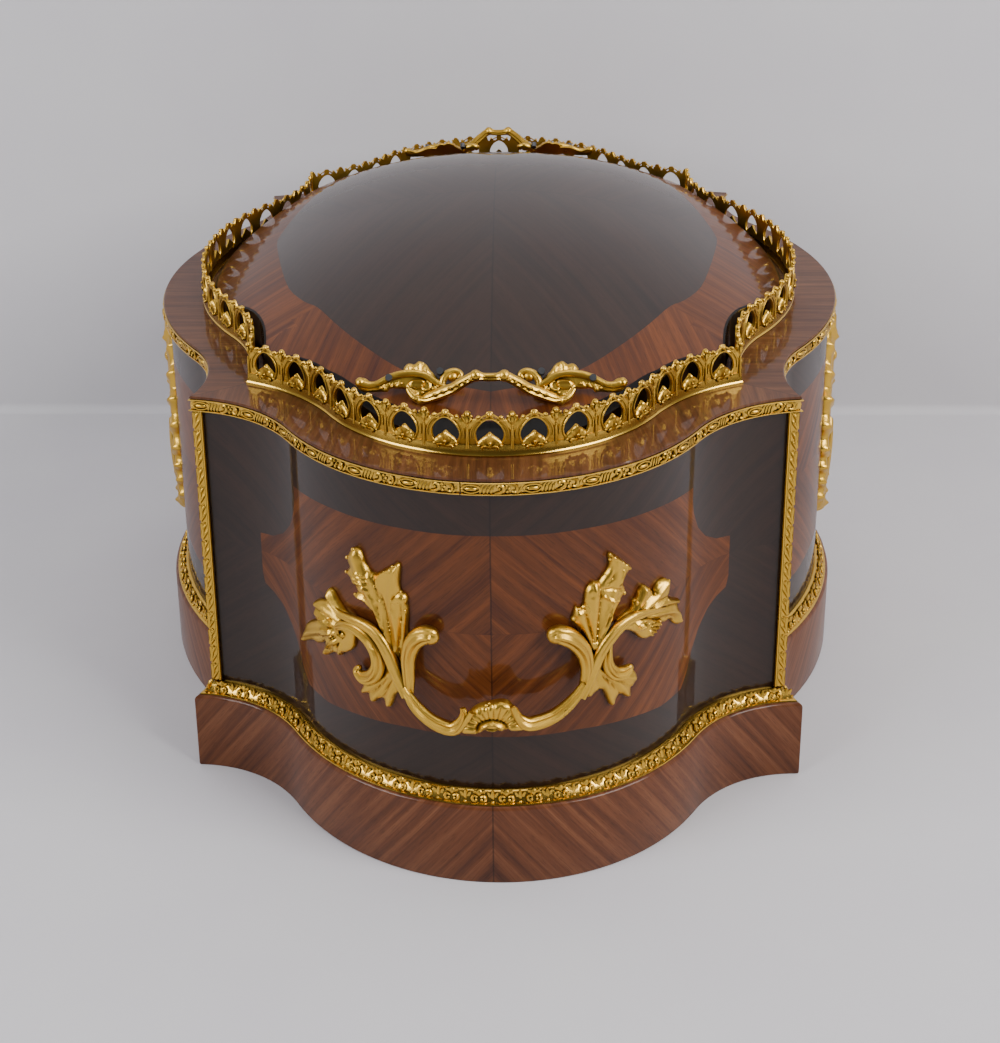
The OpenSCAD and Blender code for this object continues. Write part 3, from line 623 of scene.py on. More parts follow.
@dataclass(frozen=True)
class Metal:
    """Cast or rolled metal, darker in the recesses through an ambient-occlusion mask: painted shade there,
    along with patina.
    """

    name: str
    bright: str
    recess: str
    roughness: float
    grain_mm: float
    bump: float
    recess_mm: float = 1.2
    cloud_mm: float = 14.0
    rough_span: float = 0.22

    def material(self) -> Material:
        """Builds the material.

        Returns:
            A metallic material on object coordinates.
        """
        material, tree = new_material(self.name)
        coords = add_node(tree, "ShaderNodeTexCoord").outputs["Object"]
        fine = noise(tree, coords, 1 / (self.grain_mm * MM), 3.0)
        wide = noise(tree, coords, 1 / (self.cloud_mm * MM), 2.0)
        # Painted shade: an ambient-occlusion mask darkens the recesses towards the recess colour, along with
        # patina
        hollow = add_node(tree, "ShaderNodeAmbientOcclusion",
                          {"Distance": self.recess_mm * MM}, samples=6).outputs["AO"]
        colour = add_node(tree, "ShaderNodeMix",
                          {"Factor": rescale(tree, hollow, (0.3, 0.8)), "A": srgb(self.recess),
                           "B": srgb(self.bright)}, data_type="RGBA")
        rough = calc(tree, "MULTIPLY_ADD", wide, self.rough_span, self.roughness - self.rough_span / 2)
        bump = add_node(tree, "ShaderNodeBump",
                        {"Height": fine, "Strength": self.bump, "Distance": 0.0004})
        shader = add_node(tree, "ShaderNodeBsdfPrincipled",
                          {"Base Color": colour.outputs["Result"], "Metallic": 1.0,
                           "Roughness": rough, "Normal": bump.outputs[0]})
        add_node(tree, "ShaderNodeOutputMaterial", {"Surface": shader.outputs[0]})
        return material


@dataclass(frozen=True)
class Plain:
    """A plain surface such as the studio floor or bare oak."""

    name: str
    colour: str
    second: str
    scale_mm: float
    roughness: float
    one_sided: bool = False

    def material(self) -> Material:
        """Builds the material.

        Returns:
            A matte material with a faint mottle, unseen from behind when one_sided.
        """
        material, tree = new_material(self.name)
        coords = add_node(tree, "ShaderNodeTexCoord").outputs["Object"]
        mottle = noise(tree, coords, 1 / (self.scale_mm * MM), 4.0)
        colour = ramp(tree, mottle, [(0.3, self.colour), (0.7, self.second)])
        shader = add_node(tree, "ShaderNodeBsdfPrincipled",
                          {"Base Color": colour, "Roughness": self.roughness}).outputs[0]
        if self.one_sided:
            back = add_node(tree, "ShaderNodeNewGeometry").outputs["Backfacing"]
            clear = add_node(tree, "ShaderNodeBsdfTransparent").outputs[0]
            shader = add_node(tree, "ShaderNodeMixShader", {0: back, 1: shader, 2: clear}).outputs[0]
        add_node(tree, "ShaderNodeOutputMaterial", {"Surface": shader})
        return material


@dataclass(frozen=True)
class Palette:
    """Every finish of the object, made once."""

    kingwood: Material
    ebony: Material
    tulipwood: Material
    plinth_wood: Material
    rim_wood: Material
    oak: Material
    gilt: Material
    polished_gilt: Material
    zinc: Material
    steel: Material

    @classmethod
    def make(cls) -> "Palette":
        """Builds the materials.

        Returns:
            The palette.
        """
        # The second colour of each Metal is painted shade for its recesses, laid on by ambient occlusion
        finishes = {
            # Dark kingwood, quartered, under shellac polish
            "kingwood": Veneer("kingwood_polished", "#1a0e08", "#23140b", "#2b190f", 3.0, coat=0.65),
            # Near-black strip on the lid's ends behind the gallery: painted shade of the gap under the
            # gallery, with a low coat against reflections
            "ebony": Veneer("ebonised_wood", "#060404", "#0b0807", "#120d0a", 3.0, coat=0.08),
            # Red-brown tulipwood, laid in mirrored diagonal leaves
            "tulipwood": Veneer("tulipwood_polished", "#371608", "#52290c", "#6b3916", 3.0),
            # Plinth veneer, a little paler and redder than the fields
            "plinth_wood": Veneer("tulipwood_plinth", "#3c1c0d", "#5a3119", "#73462a", 3.0),
            # Crossbanded veneer of the rim, its fibres across the band
            "rim_wood": Veneer("tulipwood_crossband", "#34190d", "#502d17", "#653f25", 2.5, 40.0),
            # Bare oak of the hidden carcase
            "oak": Plain("oak_unpolished", "#8f6b43", "#a8814f", 5.0, 0.7),
            # Fire-gilt cast brass with matted ground
            "gilt": Metal("gilt_brass_chased", "#d4a943", "#46371a", 0.31, 0.5, 0.25, 1.7),
            # Burnished gilding of the plain fillets
            "polished_gilt": Metal("gilt_brass_burnished", "#d8ae4c", "#5c481e", 0.2, 0.8, 0.03),
            # Soldered zinc sheet of the liner
            "zinc": Metal("zinc_dull", "#9ba0a3", "#6d7274", 0.45, 2.0, 0.05),
            # Plain steel of the screws
            "steel": Metal("steel_screw", "#5c5d60", "#2c2d2f", 0.4, 1.0, 0.05),
        }
        return cls(**{name: finish.material() for name, finish in finishes.items()})


# Swept pieces


def sweep(outline: Outline, side: Side, profile: Sequence[Point2], grain_deg: float = 90.0,
          fold: bool = False, mitre: bool = False, span: Point2 = (-1.0, 1.0)) -> MeshBuilder:
    """Sweeps a closed profile along one side, mitred at both corners.

    Args:
        outline: the plan.
        side: the side.
        profile: (offset, height) pairs round the section.
        grain_deg: direction of the fibres against the length of the side.
        fold: mirrors the fibres at the middle of the side, with a joint there.
        mitre: shows the joints at the corners.
        span: shares of the side where the piece starts and stops.
    Returns:
        The builder.
    """
    half_stations, fewest = 44, 8
    builder = MeshBuilder()
    lengths = [0.0]
    for a, b in zip(profile, profile[1:]):
        lengths.append(lengths[-1] + math.dist(a, b))
    rows = []
    count = max(fewest, round(half_stations * (span[1] - span[0])))
    for i in range(count + 1):
        row = []
        for (offset, z), run in zip(profile, lengths):
            p = outline.at_share(side, offset, span[0] + (span[1] - span[0]) * i / count)
            seam = abs(p.s) if fold else NO_SEAM
            if mitre:
                seam = outline.half_length(side, offset) - abs(p.s)
            grain = turned(abs(p.s) if fold else p.s, run, grain_deg, SIDE_DRIFT * side.value)
            row.append(builder.vertex((p.x, p.y, z), grain, seam))
        rows.append(row)
    builder.grid(rows, wrap=True)
    builder.face(rows[0][::-1])
    builder.face(rows[-1])
    return builder


class CutSheet:
    """A flat drawing cut along lines, for veneers with a shaped field."""

    def __init__(self, outer: Sequence[Point2], field: Sequence[Point2],
                 edge: Sequence[Point2] = ()) -> None:
        """Takes the sheet's edge, its field's outline and a line inside its edge."""
        self.loops = (list(outer), list(field), list(edge))

    def triangles(self, cuts: Sequence[tuple[Point2, Point2]]) -> list[tuple[list[Point2], bool]]:
        """Cuts the drawing.

        Args:
            cuts: further lines that no triangle may cross.
        Returns:
            Triangles, each with True where it lies in the field.
        """
        points, edges = joined(self.loops)
        for a, b in cuts:
            edges.append((len(points), len(points) + 1))
            points += [Vector(a), Vector(b)]
        co, _, tris, *_ = geometry.delaunay_2d_cdt(points, edges, [], 0, 1e-5)
        found = []
        for tri in tris:
            corners = [(co[i].x, co[i].y) for i in tri]
            mid = middle(corners)
            if inside(mid, self.loops[0]):
                found.append((corners, inside(mid, self.loops[1])))
        return found


def inside(p: Point2, loop: Sequence[Point2]) -> bool:
    """Tells whether a point lies in a polygon.

    Args:
        p: the point.
        loop: the polygon.
    Returns:
        True if it does.
    """
    hit = False
    for (x0, y0), (x1, y1) in zip(loop, [*loop[1:], loop[0]]):
        if (y0 > p[1]) != (y1 > p[1]) and p[0] < (x1 - x0) * (p[1] - y0) / (y1 - y0) + x0:
            hit = not hit
    return hit


# Relief work


@dataclass(frozen=True)
class Stroke:
    """A raised line on a cast leaf, or a groove where the height is negative."""

    line: Sequence[Point2]
    height: float
    radius: float
    fade: float = 0.0


def nearest(points: np.ndarray, line: Sequence[Sequence[float]],
            closed: bool = False) -> tuple[np.ndarray, np.ndarray]:
    """Finds how far points lie from a line.

    Args:
        points: rows of u and v.
        line: rows that begin with u and v.
        closed: joins the last row to the first.
    Returns:
        The distances, and the share of the line's length at each nearest place.
    """
    run = np.array([row[:2] for row in line], float)
    if closed:
        run = np.vstack([run, run[:1]])
    start, step = run[:-1], run[1:] - run[:-1]
    length = np.maximum(np.linalg.norm(step, axis=1), 1e-9)
    rel = points[:, None, :] - start[None]
    t = np.clip((rel * step).sum(2) / length ** 2, 0.0, 1.0)
    gap = np.linalg.norm(rel - t[..., None] * step, axis=2)
    best = gap.argmin(1)
    rows = np.arange(len(points))
    total = np.concatenate([[0.0], np.cumsum(length)])
    return gap[rows, best], (total[best] + t[rows, best] * length[best]) / total[-1]


def within(points: np.ndarray, loop: Sequence[Point2]) -> np.ndarray:
    """Tells which of many points lie in a polygon.

    Args:
        points: rows of u and v.
        loop: the polygon.
    Returns:
        True for each point in it.
    """
    a = np.array(loop, float)
    b = np.roll(a, -1, axis=0)
    px, py = points[:, 0:1], points[:, 1:2]
    spans = (a[None, :, 1] > py) != (b[None, :, 1] > py)
    rise = np.where(np.abs(b[:, 1] - a[:, 1]) < 1e-12, 1e-12, b[:, 1] - a[:, 1])
    cross = (b[:, 0] - a[:, 0])[None] * (py - a[None, :, 1]) / rise[None] + a[None, :, 0]
    return (spans & (px < cross)).sum(1) % 2 == 1


def swell(x: float, width: float) -> float:
    """A smooth swelling of height 1 about 0."""
    return math.exp(-(x / width) ** 2)


def circle(count: int) -> list[float]:
    """Even angles round a circle."""
    return [2 * math.pi * k / count for k in range(count)]


def polar(centre: Point2, reach: Point2, deg: float) -> Point2:
    """A point round a centre, its angle counted from the left."""
    a = math.radians(deg)
    return centre[0] - reach[0] * math.cos(a), centre[1] + reach[1] * math.sin(a)


class Relief:
    """Builds cast ornament in a drawing's own u, v and height, then places it."""

    # Places and widths of the chased lines on a bar, as shares of its radius
    groove_at, groove_width, channel_width = 0.5, 0.2, 0.5
    # Form of a lobe: breadth of its root, place of its widest part and depth of its vein
    neck, widest, vein, vein_width = 0.4, 0.6, 0.18, 0.25
    # How much of a groove's and of a ridge's drawn height the casting keeps
    groove_share, ridge_share = 0.62, 0.9
    # Least thickness of a cast leaf
    thinnest = 0.15
    # Spacing of a leaf's points: between rows, and from its edge, as shares of the step
    row_share, edge_share = 0.87, 0.45

    def __init__(self, place: Place, builder: MeshBuilder | None = None) -> None:
        """Takes how the drawing is placed, and the builder that collects it."""
        self.place = place
        self.builder = builder or MeshBuilder()

    def rings(self, rings: Sequence[Sequence[Point3]]) -> None:
        """A closed body through drawn sections."""
        self.builder.loft([[self.place(*p) for p in ring] for ring in rings])

    def tube(self, line: Sequence[Sequence[float]], sides: int = 10, groove: float = 0.0,
             steps: int = 5, channel: float = 0.0) -> None:
        """A tapered bar along a line.

        Args:
            line: control rows of u, v, height and radius.
            sides: points round the bar.
            groove: depth of two grooves along it, as a share of the radius.
            steps: points between two control rows.
            channel: depth of one broad groove along its top, as a share of the radius.
        """
        run = smooth_line(line, steps)
        rings = []
        for i, (u, v, h, r) in enumerate(run):
            a, b = run[max(i - 1, 0)], run[min(i + 1, len(run) - 1)]
            d = Vector((b[0] - a[0], b[1] - a[1]))
            d = d.normalized() if d.length > 1e-6 else Vector((1, 0))
            ring = []
            for angle in circle(sides):
                c, s = math.cos(angle), math.sin(angle)
                cut = 1 - groove * (swell(c - self.groove_at, self.groove_width)
                                    + swell(c + self.groove_at, self.groove_width))
                if s > 0:
                    cut -= channel * swell(c, self.channel_width)
                ring.append((u - d.y * r * c * cut, v + d.x * r * c * cut, h + r * s * cut))
            rings.append(ring)
        self.rings(rings)

    def petal(self, root: Point2, tip: Point2, width: float, height: float, sides: int, rows: int,
              bend: float = 0.0, base: float = 0.0) -> None:
        """A leaf lobe with a rounded tip and a vein.

        Args:
            root: where it springs from.
            tip: where it ends.
            width: widest breadth.
            height: height of its crown.
            sides: points round a section.
            rows: sections along it.
            bend: sideways bow of its middle.
            base: height of its underside.
        """
        a, b = Vector(root), Vector(tip)
        along = b - a
        across = Vector((-along.y, along.x)).normalized()
        rings = []
        for i in range(rows + 1):
            t = i / rows
            if t < self.widest:
                w = self.neck + (1 - self.neck) * math.sin(t / self.widest * math.pi / 2)
            else:
                w = math.sqrt(max(1 - ((t - self.widest) / (1 - self.widest)) ** 2, 0.0))
            w = max(w, 0.06) * width / 2
            mid = a + along * t + across * bend * math.sin(math.pi * t)
            crown = height * (0.55 + 0.45 * math.sin(math.pi * min(t + 0.15, 1.0)))
            ring = []
            for angle in circle(sides):
                c, top = math.cos(angle), math.sin(angle)
                if top > 0:
                    h = base + crown * (top ** 0.7) * (1 - self.vein * swell(c, self.vein_width))
                else:
                    h = base + 0.25 * crown * top
                p = mid + across * c * w
                ring.append((p.x, p.y, h))
            rings.append(ring)
        self.rings(rings)

    def sheet(self, outline: Sequence[Point2], crown: float, width: float, strokes: Sequence[Stroke] = (),
              edge: float = 0.7, base: float = 0.0, step: float = 0.55, smooth: bool = True,
              holes: Sequence[Sequence[Point2]] = ()) -> None:
        """A cast leaf of any outline, swelling from its edge and chased with strokes.

        Args:
            outline: drawn points round the leaf.
            crown: how far it swells.
            width: distance from the edge over which it swells.
            strokes: raised lines and grooves.
            edge: thickness at the edge.
            base: height of its underside.
            step: spacing of the points in mm.
            smooth: rounds the drawn outline.
            holes: outlines of openings.
        """
        loops = [closed_line(loop, step) if smooth else list(loop) for loop in (outline, *holes)]
        corners = np.array(loops[0])
        (u0, v0), (u1, v1) = corners.min(0), corners.max(0)
        rows = np.arange(v0, v1, step * self.row_share)
        grid = np.array([(u + (k % 2) * step / 2, v)
                         for k, v in enumerate(rows) for u in np.arange(u0, u1, step)])
        keep = self._in_leaf(grid, loops)
        for loop in loops:
            keep &= nearest(grid, loop, True)[0] > step * self.edge_share
        points, edges = joined(loops)
        points += [Vector(p) for p in grid[keep]]
        co, _, tris, *_ = geometry.delaunay_2d_cdt(points, edges, [], 0, 1e-6)
        flat = np.array([(p.x, p.y) for p in co])
        inner = self._in_leaf(np.array([flat[list(t)].mean(0) for t in tris]), loops)
        tris = [t for t, use in zip(tris, inner) if use]
        depth = np.minimum(np.min([nearest(flat, loop, True)[0] for loop in loops], axis=0) / width, 1.0)
        high = base + edge + crown * np.sqrt(1 - (1 - depth) ** 2)
        for stroke in strokes:
            gap, along = nearest(flat, smooth_line(stroke.line, 4))
            height = stroke.height * (self.groove_share if stroke.height < 0 else self.ridge_share)
            high += height * (1 - stroke.fade * along) * np.exp(-(gap / stroke.radius) ** 2)
        self._cast(flat, np.maximum(high, base + self.thinnest), base, tris)

    def _in_leaf(self, points: np.ndarray, loops: Sequence[Sequence[Point2]]) -> np.ndarray:
        """Tells which points lie in a leaf and in none of its openings.

        Args:
            points: rows of u and v.
            loops: the leaf's edge, then the openings.
        Returns:
            True for each point in the leaf.
        """
        found = within(points, loops[0])
        for loop in loops[1:]:
            found &= ~within(points, loop)
        return found

    def _cast(self, flat: np.ndarray, high: np.ndarray, base: float, tris: Sequence[Sequence[int]]) -> None:
        """Turns a leaf's heights into a closed body.

        Args:
            flat: its points.
            high: their heights.
            base: height of its underside.
            tris: the triangles between them.
        """
        used = sorted({i for t in tris for i in t})
        top = {i: self.builder.vertex(self.place(*flat[i], high[i])) for i in used}
        low = {i: self.builder.vertex(self.place(*flat[i], base)) for i in used}
        sides: dict[tuple[int, int], None] = {}
        for a, b, c in tris:
            self.builder.face((top[a], top[b], top[c]))
            self.builder.face((low[c], low[b], low[a]))
            sides.update({(a, b): None, (b, c): None, (c, a): None})
        for p, q in sides:
            if (q, p) not in sides:
                self.builder.face((top[q], top[p], low[p], low[q]))

    def ball(self, u: float, v: float, h: float, r: float, sides: int = 10, flat: float = 1.0) -> None:
        """A bead.

        Args:
            u: distance along the drawing.
            v: height on the drawing.
            h: how far its middle stands out.
            r: its radius.
            sides: points round it.
            flat: its thickness over its width.
        """
        rings = []
        rows = max(sides // 2, 4)
        for i in range(rows + 1):
            a = math.pi * i / rows
            wide = max(r * math.sin(a), r * 0.04)
            rings.append([(u + wide * math.cos(b), v - r * math.cos(a), h + flat * wide * math.sin(b))
                          for b in circle(sides)])
        self.rings(rings)

    def plate(self, outline: Sequence[Point2], low: float, high: float) -> None:
        """A flat plate with straight edges."""
        self.rings([[(u, v, h) for u, v in outline] for h in (low, high)])

    def build(self, name: str, material: Material, sharp_deg: float = 50.0) -> Object:
        """Makes the object."""
        return self.builder.build(name, [material], sharp_deg)


def flat_place(u: float, v: float, h: float) -> Point3:
    """A motif drawn upright: X along, Z up, outwards along -Y."""
    return (u, -h, v)


class PathRepeater:
    """A node group that repeats a motif along the curve that carries it."""

    def __init__(self) -> None:
        """Builds the node group with its named inputs."""
        tree = bpy.data.node_groups.new("repeat_along_path", "GeometryNodeTree")
        face = tree.interface
        face.new_socket("Geometry", in_out="INPUT", socket_type="NodeSocketGeometry")
        sockets = (("Motif", "Object"), ("Count", "Int"), ("Stretch", "Float"), ("Jitter", "Float"),
                   ("Seed", "Int"), ("Material", "Material"))
        self.keys = {name: face.new_socket(name, in_out="INPUT", socket_type="NodeSocket" + kind).identifier
                     for name, kind in sockets}
        face.new_socket("Geometry", in_out="OUTPUT", socket_type="NodeSocketGeometry")
        source = add_node(tree, "NodeGroupInput").outputs
        even = add_node(tree, "GeometryNodeResampleCurve",
                        {"Curve": source["Geometry"], "Count": source["Count"]})
        points = add_node(tree, "GeometryNodeCurveToPoints", {"Curve": even.outputs[0]}, mode="EVALUATED")
        aligned = add_node(tree, "FunctionNodeAlignRotationToVector",
                           {"Vector": points.outputs["Tangent"]}, axis="X", pivot_axis="Z")
        size = add_node(tree, "FunctionNodeRandomValue",
                        {2: calc(tree, "SUBTRACT", 1.0, source["Jitter"]),
                         3: calc(tree, "ADD", 1.0, source["Jitter"]), "Seed": source["Seed"]},
                        data_type="FLOAT")
        scale = add_node(tree, "ShaderNodeCombineXYZ",
                         {"X": source["Stretch"], "Y": size.outputs[1], "Z": 1.0})
        motif = add_node(tree, "GeometryNodeObjectInfo",
                         {"Object": source["Motif"], "As Instance": True}, transform_space="ORIGINAL")
        copies = add_node(tree, "GeometryNodeInstanceOnPoints",
                          {"Points": points.outputs["Points"], "Instance": motif.outputs["Geometry"],
                           "Rotation": aligned.outputs[0], "Scale": scale.outputs[0]})
        real = add_node(tree, "GeometryNodeRealizeInstances", {"Geometry": copies.outputs[0]})
        painted = add_node(tree, "GeometryNodeSetMaterial",
                           {"Geometry": real.outputs[0], "Material": source["Material"]})
        add_node(tree, "NodeGroupOutput", {"Geometry": painted.outputs[0]})
        self.tree = tree

    def repeat(self, name: str, line: Sequence[Point3], **inputs: object) -> Object:
        """Repeats a motif along a line, with the first and last copy at its ends.

        Args:
            name: the new object's name.
            line: points of the path in mm.
            **inputs: a value for each of the group's inputs.
        Returns:
            One plain mesh object.
        """
        curve = bpy.data.curves.new(name + "_path", "CURVE")
        curve.dimensions = "3D"
        path = curve.splines.new("POLY")
        path.points.add(len(line) - 1)
        for point, p in zip(path.points, line):
            point.co = (p[0] * MM, p[1] * MM, p[2] * MM, 1.0)
        host = bpy.data.objects.new(name + "_path", curve)
        bpy.context.scene.collection.objects.link(host)
        modifier = host.modifiers.new("repeat", "NODES")
        modifier.node_group = self.tree
        for key, value in inputs.items():
            modifier[self.keys[key]] = value
        graph = bpy.context.evaluated_depsgraph_get()
        mesh = bpy.data.meshes.new_from_object(host.evaluated_get(graph))
        mesh.name = name
        obj = bpy.data.objects.new(name, mesh)
        bpy.context.scene.collection.objects.link(obj)
        bpy.data.objects.remove(host)
        return obj


# The case


@dataclass
class Shop:
    """What every sub-assembly needs: the plan, the finishes and the repeater."""

    outline: Outline
    palette: Palette
    repeater: PathRepeater
    case_height: float = 156.0

    def fit(self, obj: Object, body: str, slot: str, *nodes: str) -> None:
        """Puts a piece on a CAD body and hides the nodes it stands for.

        Args:
            obj: the piece.
            body: the body that it moves with.
            slot: not used.
            *nodes: the CAD nodes that it stands for.
        """
        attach(obj, body)
        if nodes:
            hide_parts(*nodes)

    def swept(self, name: str, node: str, side: Side, profile: Sequence[Point2],
              finish: Material, slot: str, **options: object) -> None:
        """Sweeps a section along a side and puts the piece on the case.

        Args:
            name: the piece's name without the side.
            node: name without the side of the CAD node it stands for, or nothing.
            side: the side.
            profile: (offset, height) pairs round the section.
            finish: its material.
            slot: handed on to fit.
            **options: what sweep takes besides.
        """
        obj = sweep(self.outline, side, profile, **options).build(f"{name}_{side.label}", [finish])
        self.fit(obj, "case", slot, *([f"{node}_{side.label}"] if node else []))

    def row(self, name: str, side: Side, offset: float, z: float, span: Point2,
            motif: Object, pitch: float, jitter: float, seed: int) -> None:
        """Repeats a motif in a straight row, then bends the row onto a side.

        Args:
            name: the new object's name without the side.
            side: the side.
            offset: distance of the row outside the rim's edge.
            z: height of the motif's foot.
            span: distances from the side's middle where the row starts and stops.
            motif: the object to repeat, drawn upright.
            pitch: length of the motif as drawn.
            jitter: random share of the copies' relief.
            seed: first side's seed of the jitter.
        """
        spans = 8
        count = max(2, round((span[1] - span[0]) / pitch))
        step = (span[1] - span[0]) / count
        line = [(span[0] + step * (0.5 + i * (count - 1) / spans), 0.0, z) for i in range(spans + 1)]
        obj = self.repeater.repeat(f"{name}_{side.label}", line, Motif=motif, Count=count,
                                   Stretch=step / pitch, Jitter=jitter, Seed=seed + side.value,
                                   Material=self.palette.gilt)
        flat = np.empty(len(obj.data.vertices) * 3)
        obj.data.vertices.foreach_get("co", flat)
        bent = self.outline.wrap(side, offset, flat.reshape(-1, 3) / MM) * MM
        obj.data.vertices.foreach_set("co", bent.ravel())
        obj.data.update()
        self.fit(obj, "case", "gilt_brass")


@dataclass
class Plinth:
    """The four plinth sections with their diagonal veneer."""

    shop: Shop
    height: float = 31.5
    out: float = 3.5
    width: float = 21.5
    grain_deg: float = -52.0

    def build(self) -> None:
        """Builds the sections."""
        o, i, h = self.out, self.out - self.width, self.height
        profile = [(i, 0.0), (o - 0.7, 0.0), (o - 0.15, 0.25), (o, 1.0), (o, h - 1.4), (o - 0.25, h - 0.6),
                   (o - 0.75, h - 0.12), (o - 1.4, h), (i, h)]
        for side in Side:
            self.shop.swept("plinth_veneered", "plinth", side, profile, self.shop.palette.plinth_wood,
                            "tulipwood", grain_deg=self.grain_deg, fold=True)


@dataclass
class Walls:
    """The four walls: an oak core and a veneer sheet with a shaped field."""

    shop: Shop
    face: float = -2.5
    inner: float = -12.5
    sheet: float = 0.4
    low: float = 31.5
    high: float = 150.0
    quarter_z: float = 97.0
    field_half: float = 105.5
    field_margin: float = 23.0
    cut_pitch: float = 2.4
    field_deg: float = -45.0
    ground_deg: float = 38.0
    cross_joint: float = 0.24

    def field(self, side: Side) -> list[Point2]:
        """The outline of the lighter field on a wall.

        Args:
            side: the side.
        Returns:
            Points of (distance from the middle, height).
        """
        k = (self.shop.outline.half_length(side, self.face) - self.field_margin) / self.field_half
        right = [(0, 56.5), (30, 56.2), (52, 54.0), (66, 52.0), (79, 52.5), (83, 57), (86.5, 65),
                 (90.5, 72), (95.5, 78), (100, 81.2), (104.5, 83.5), (105.5, 88), (105.5, 104.3),
                 (99, 105.2), (93, 108.5), (88, 114), (84.8, 121), (83.6, 127), (83.8, 131.5),
                 (60, 133.0), (30, 134.0), (0, 134.3)]
        loop = [(s * k, z) for s, z in right]
        return loop + [(-s, z) for s, z in loop[-2:0:-1]]

    def build(self) -> None:
        """Builds the walls."""
        palette, low, high = self.shop.palette, self.low, self.high
        back = self.face - self.sheet
        for side in Side:
            self.shop.swept("wall_core", "wall", side,
                            [(self.inner, low), (back, low), (back, high), (self.inner, high)],
                            palette.oak, "oak")
            half = self.shop.outline.half_length(side, self.face)
            sheet = CutSheet([(-half, low), (half, low), (half, high), (-half, high)], self.field(side))
            count = int(half * 2 / self.cut_pitch)
            upright = [-half + 2 * half * i / count for i in range(1, count)]
            cuts = [((s, low), (s, high)) for s in (*upright, *JOINT_CUTS)]
            cuts += [((-half, self.quarter_z + d), (half, self.quarter_z + d)) for d in JOINT_CUTS]
            obj = self._veneer(side, sheet.triangles(cuts)).build(
                f"wall_veneer_{side.label}", [palette.kingwood, palette.tulipwood])
            self.shop.fit(obj, "case", "kingwood")

    def _veneer(self, side: Side, parts: Sequence[tuple[list[Point2], bool]]) -> MeshBuilder:
        """Wraps the cut drawing round the wall.

        Args:
            side: the side.
            parts: triangles, each with True where it lies in the field.
        Returns:
            The builder.
        """
        builder = MeshBuilder()
        for corners, light in parts:
            mid_s, mid_z = middle(corners)
            leaf = (light, mid_s > 0, mid_z > self.quarter_z)
            builder.lay(corners, leaf, lambda s, z: self._vertex(builder, side, s, z, *leaf), int(light))
        return builder

    def _vertex(self, builder: MeshBuilder, side: Side, s: float, z: float, light: bool,
                right: bool, upper: bool) -> int:
        """Adds one veneer vertex; each quarter has its own leaf of wood.

        Args:
            builder: the veneer.
            side: the side.
            s: distance from the wall's middle.
            z: height.
            light: whether it lies in the field.
            right: whether its leaf is a right one.
            upper: whether its leaf is an upper one.
        Returns:
            Its index.
        """
        p = self.shop.outline.at_length(side, self.face, s)
        u, v = abs(s), z - self.quarter_z
        deg = self.field_deg if light else self.ground_deg
        drift = 3.0 * right + 1.5 * upper + SIDE_DRIFT * side.value
        seam = min(u, abs(v) + self.cross_joint) if light else u
        return builder.vertex((p.x, p.y, z), turned(u, v, deg if upper else -deg, drift), seam,
                              (p.nx, p.ny, 0.0))


@dataclass
class Rim:
    """The crossbanded top rim."""

    shop: Shop
    thickness: float = 6.0
    lip: float = 1.0
    inner: float = -21.5

    def build(self) -> None:
        """Builds the four sections."""
        top, inner = self.shop.case_height, self.inner
        low, lip = top - self.thickness, top - self.lip
        profile = [(inner, low), (-2.5, low), (-2.5, lip), (-0.75, lip), (-0.45, lip + 0.2),
                   (-0.4, top - 0.35), (-0.75, top), (inner + 0.5, top), (inner, top - 0.5)]
        for side in Side:
            self.shop.swept("rim_crossbanded", "rim", side, profile, self.shop.palette.rim_wood,
                            "tulipwood", mitre=True)


@dataclass
class FootMoulding:
    """The gilt moulding on the plinth, cast with shells and leaves over its whole height."""

    shop: Shop
    low: float = 31.5
    face: float = -2.5
    out: float = 2.4
    pitch: float = 9.6
    ground: float = 2.6
    jitter: float = 0.1

    def _motif(self) -> Object:
        """Draws one repeat: a shell with two eyes, then a group of leaves.

        Returns:
            The motif, drawn upright.
        """
        relief = Relief(flat_place)
        # Shell over two eyes
        for way in (-1, 1):
            relief.tube([(way * 0.2, 0.5, 0.9, 0.35), (way * 1.5, 0.7, 1.3, 0.5), (way * 2.3, 1.8, 1.2, 0.6),
                         (way * 1.7, 2.9, 0.9, 0.55), (way * 0.7, 2.4, 1.1, 0.4)], sides=7, steps=2)
            relief.ball(way * 1.0, 1.5, 1.3, 0.55, 7)
        relief.petal((0, 2.0), (0, 4.9), 2.4, 1.2, 9, 5, base=-0.4)
        for way in (-1, 1):
            relief.petal((way * 0.4, 2.2), (way * 2.0, 4.4), 1.6, 1.0, 8, 4, base=-0.4)
        # Leaves between two shells
        mid = self.pitch / 2
        relief.petal((mid, 0.5), (mid, 4.7), 1.7, 1.5, 9, 5, base=-0.3)
        for way in (-1, 1):
            relief.petal((mid + way * 0.3, 0.4), (mid + way * 1.9, 3.9), 1.5, 1.2, 8, 5, way * 0.3, -0.3)
            relief.petal((mid + way * 0.4, 0.3), (mid + way * 2.5, 1.5), 1.1, 1.2, 8, 4, base=0.3)
        relief.ball(mid, 0.7, 1.5, 0.6, 7)
        return relief.build("foot_moulding_motif", self.shop.palette.gilt)

    def build(self) -> None:
        """Builds the moulding on each side."""
        motif = self._motif()
        z, o, w = self.low, self.out, self.face
        profile = [(w, z), (o - 0.2, z), (o, z + 0.2), (o - 0.15, z + 0.55), (o - 1.1, z + 0.8),
                   (o - 1.5, z + 1.6), (o - 2.5, z + 3.0), (w + 1.5, z + 3.9), (w + 0.4, z + 4.2),
                   (w, z + 4.2)]
        offset = o - self.ground
        for side in Side:
            self.shop.swept("foot_moulding_ground", "foot_moulding", side, profile,
                            self.shop.palette.polished_gilt, "gilt_brass")
            half = self.shop.outline.half_length(side, offset)
            self.shop.row("foot_moulding_leaves", side, offset, z + 0.1, (-half, half), motif, self.pitch,
                          self.jitter, 3)
        bpy.data.objects.remove(motif)


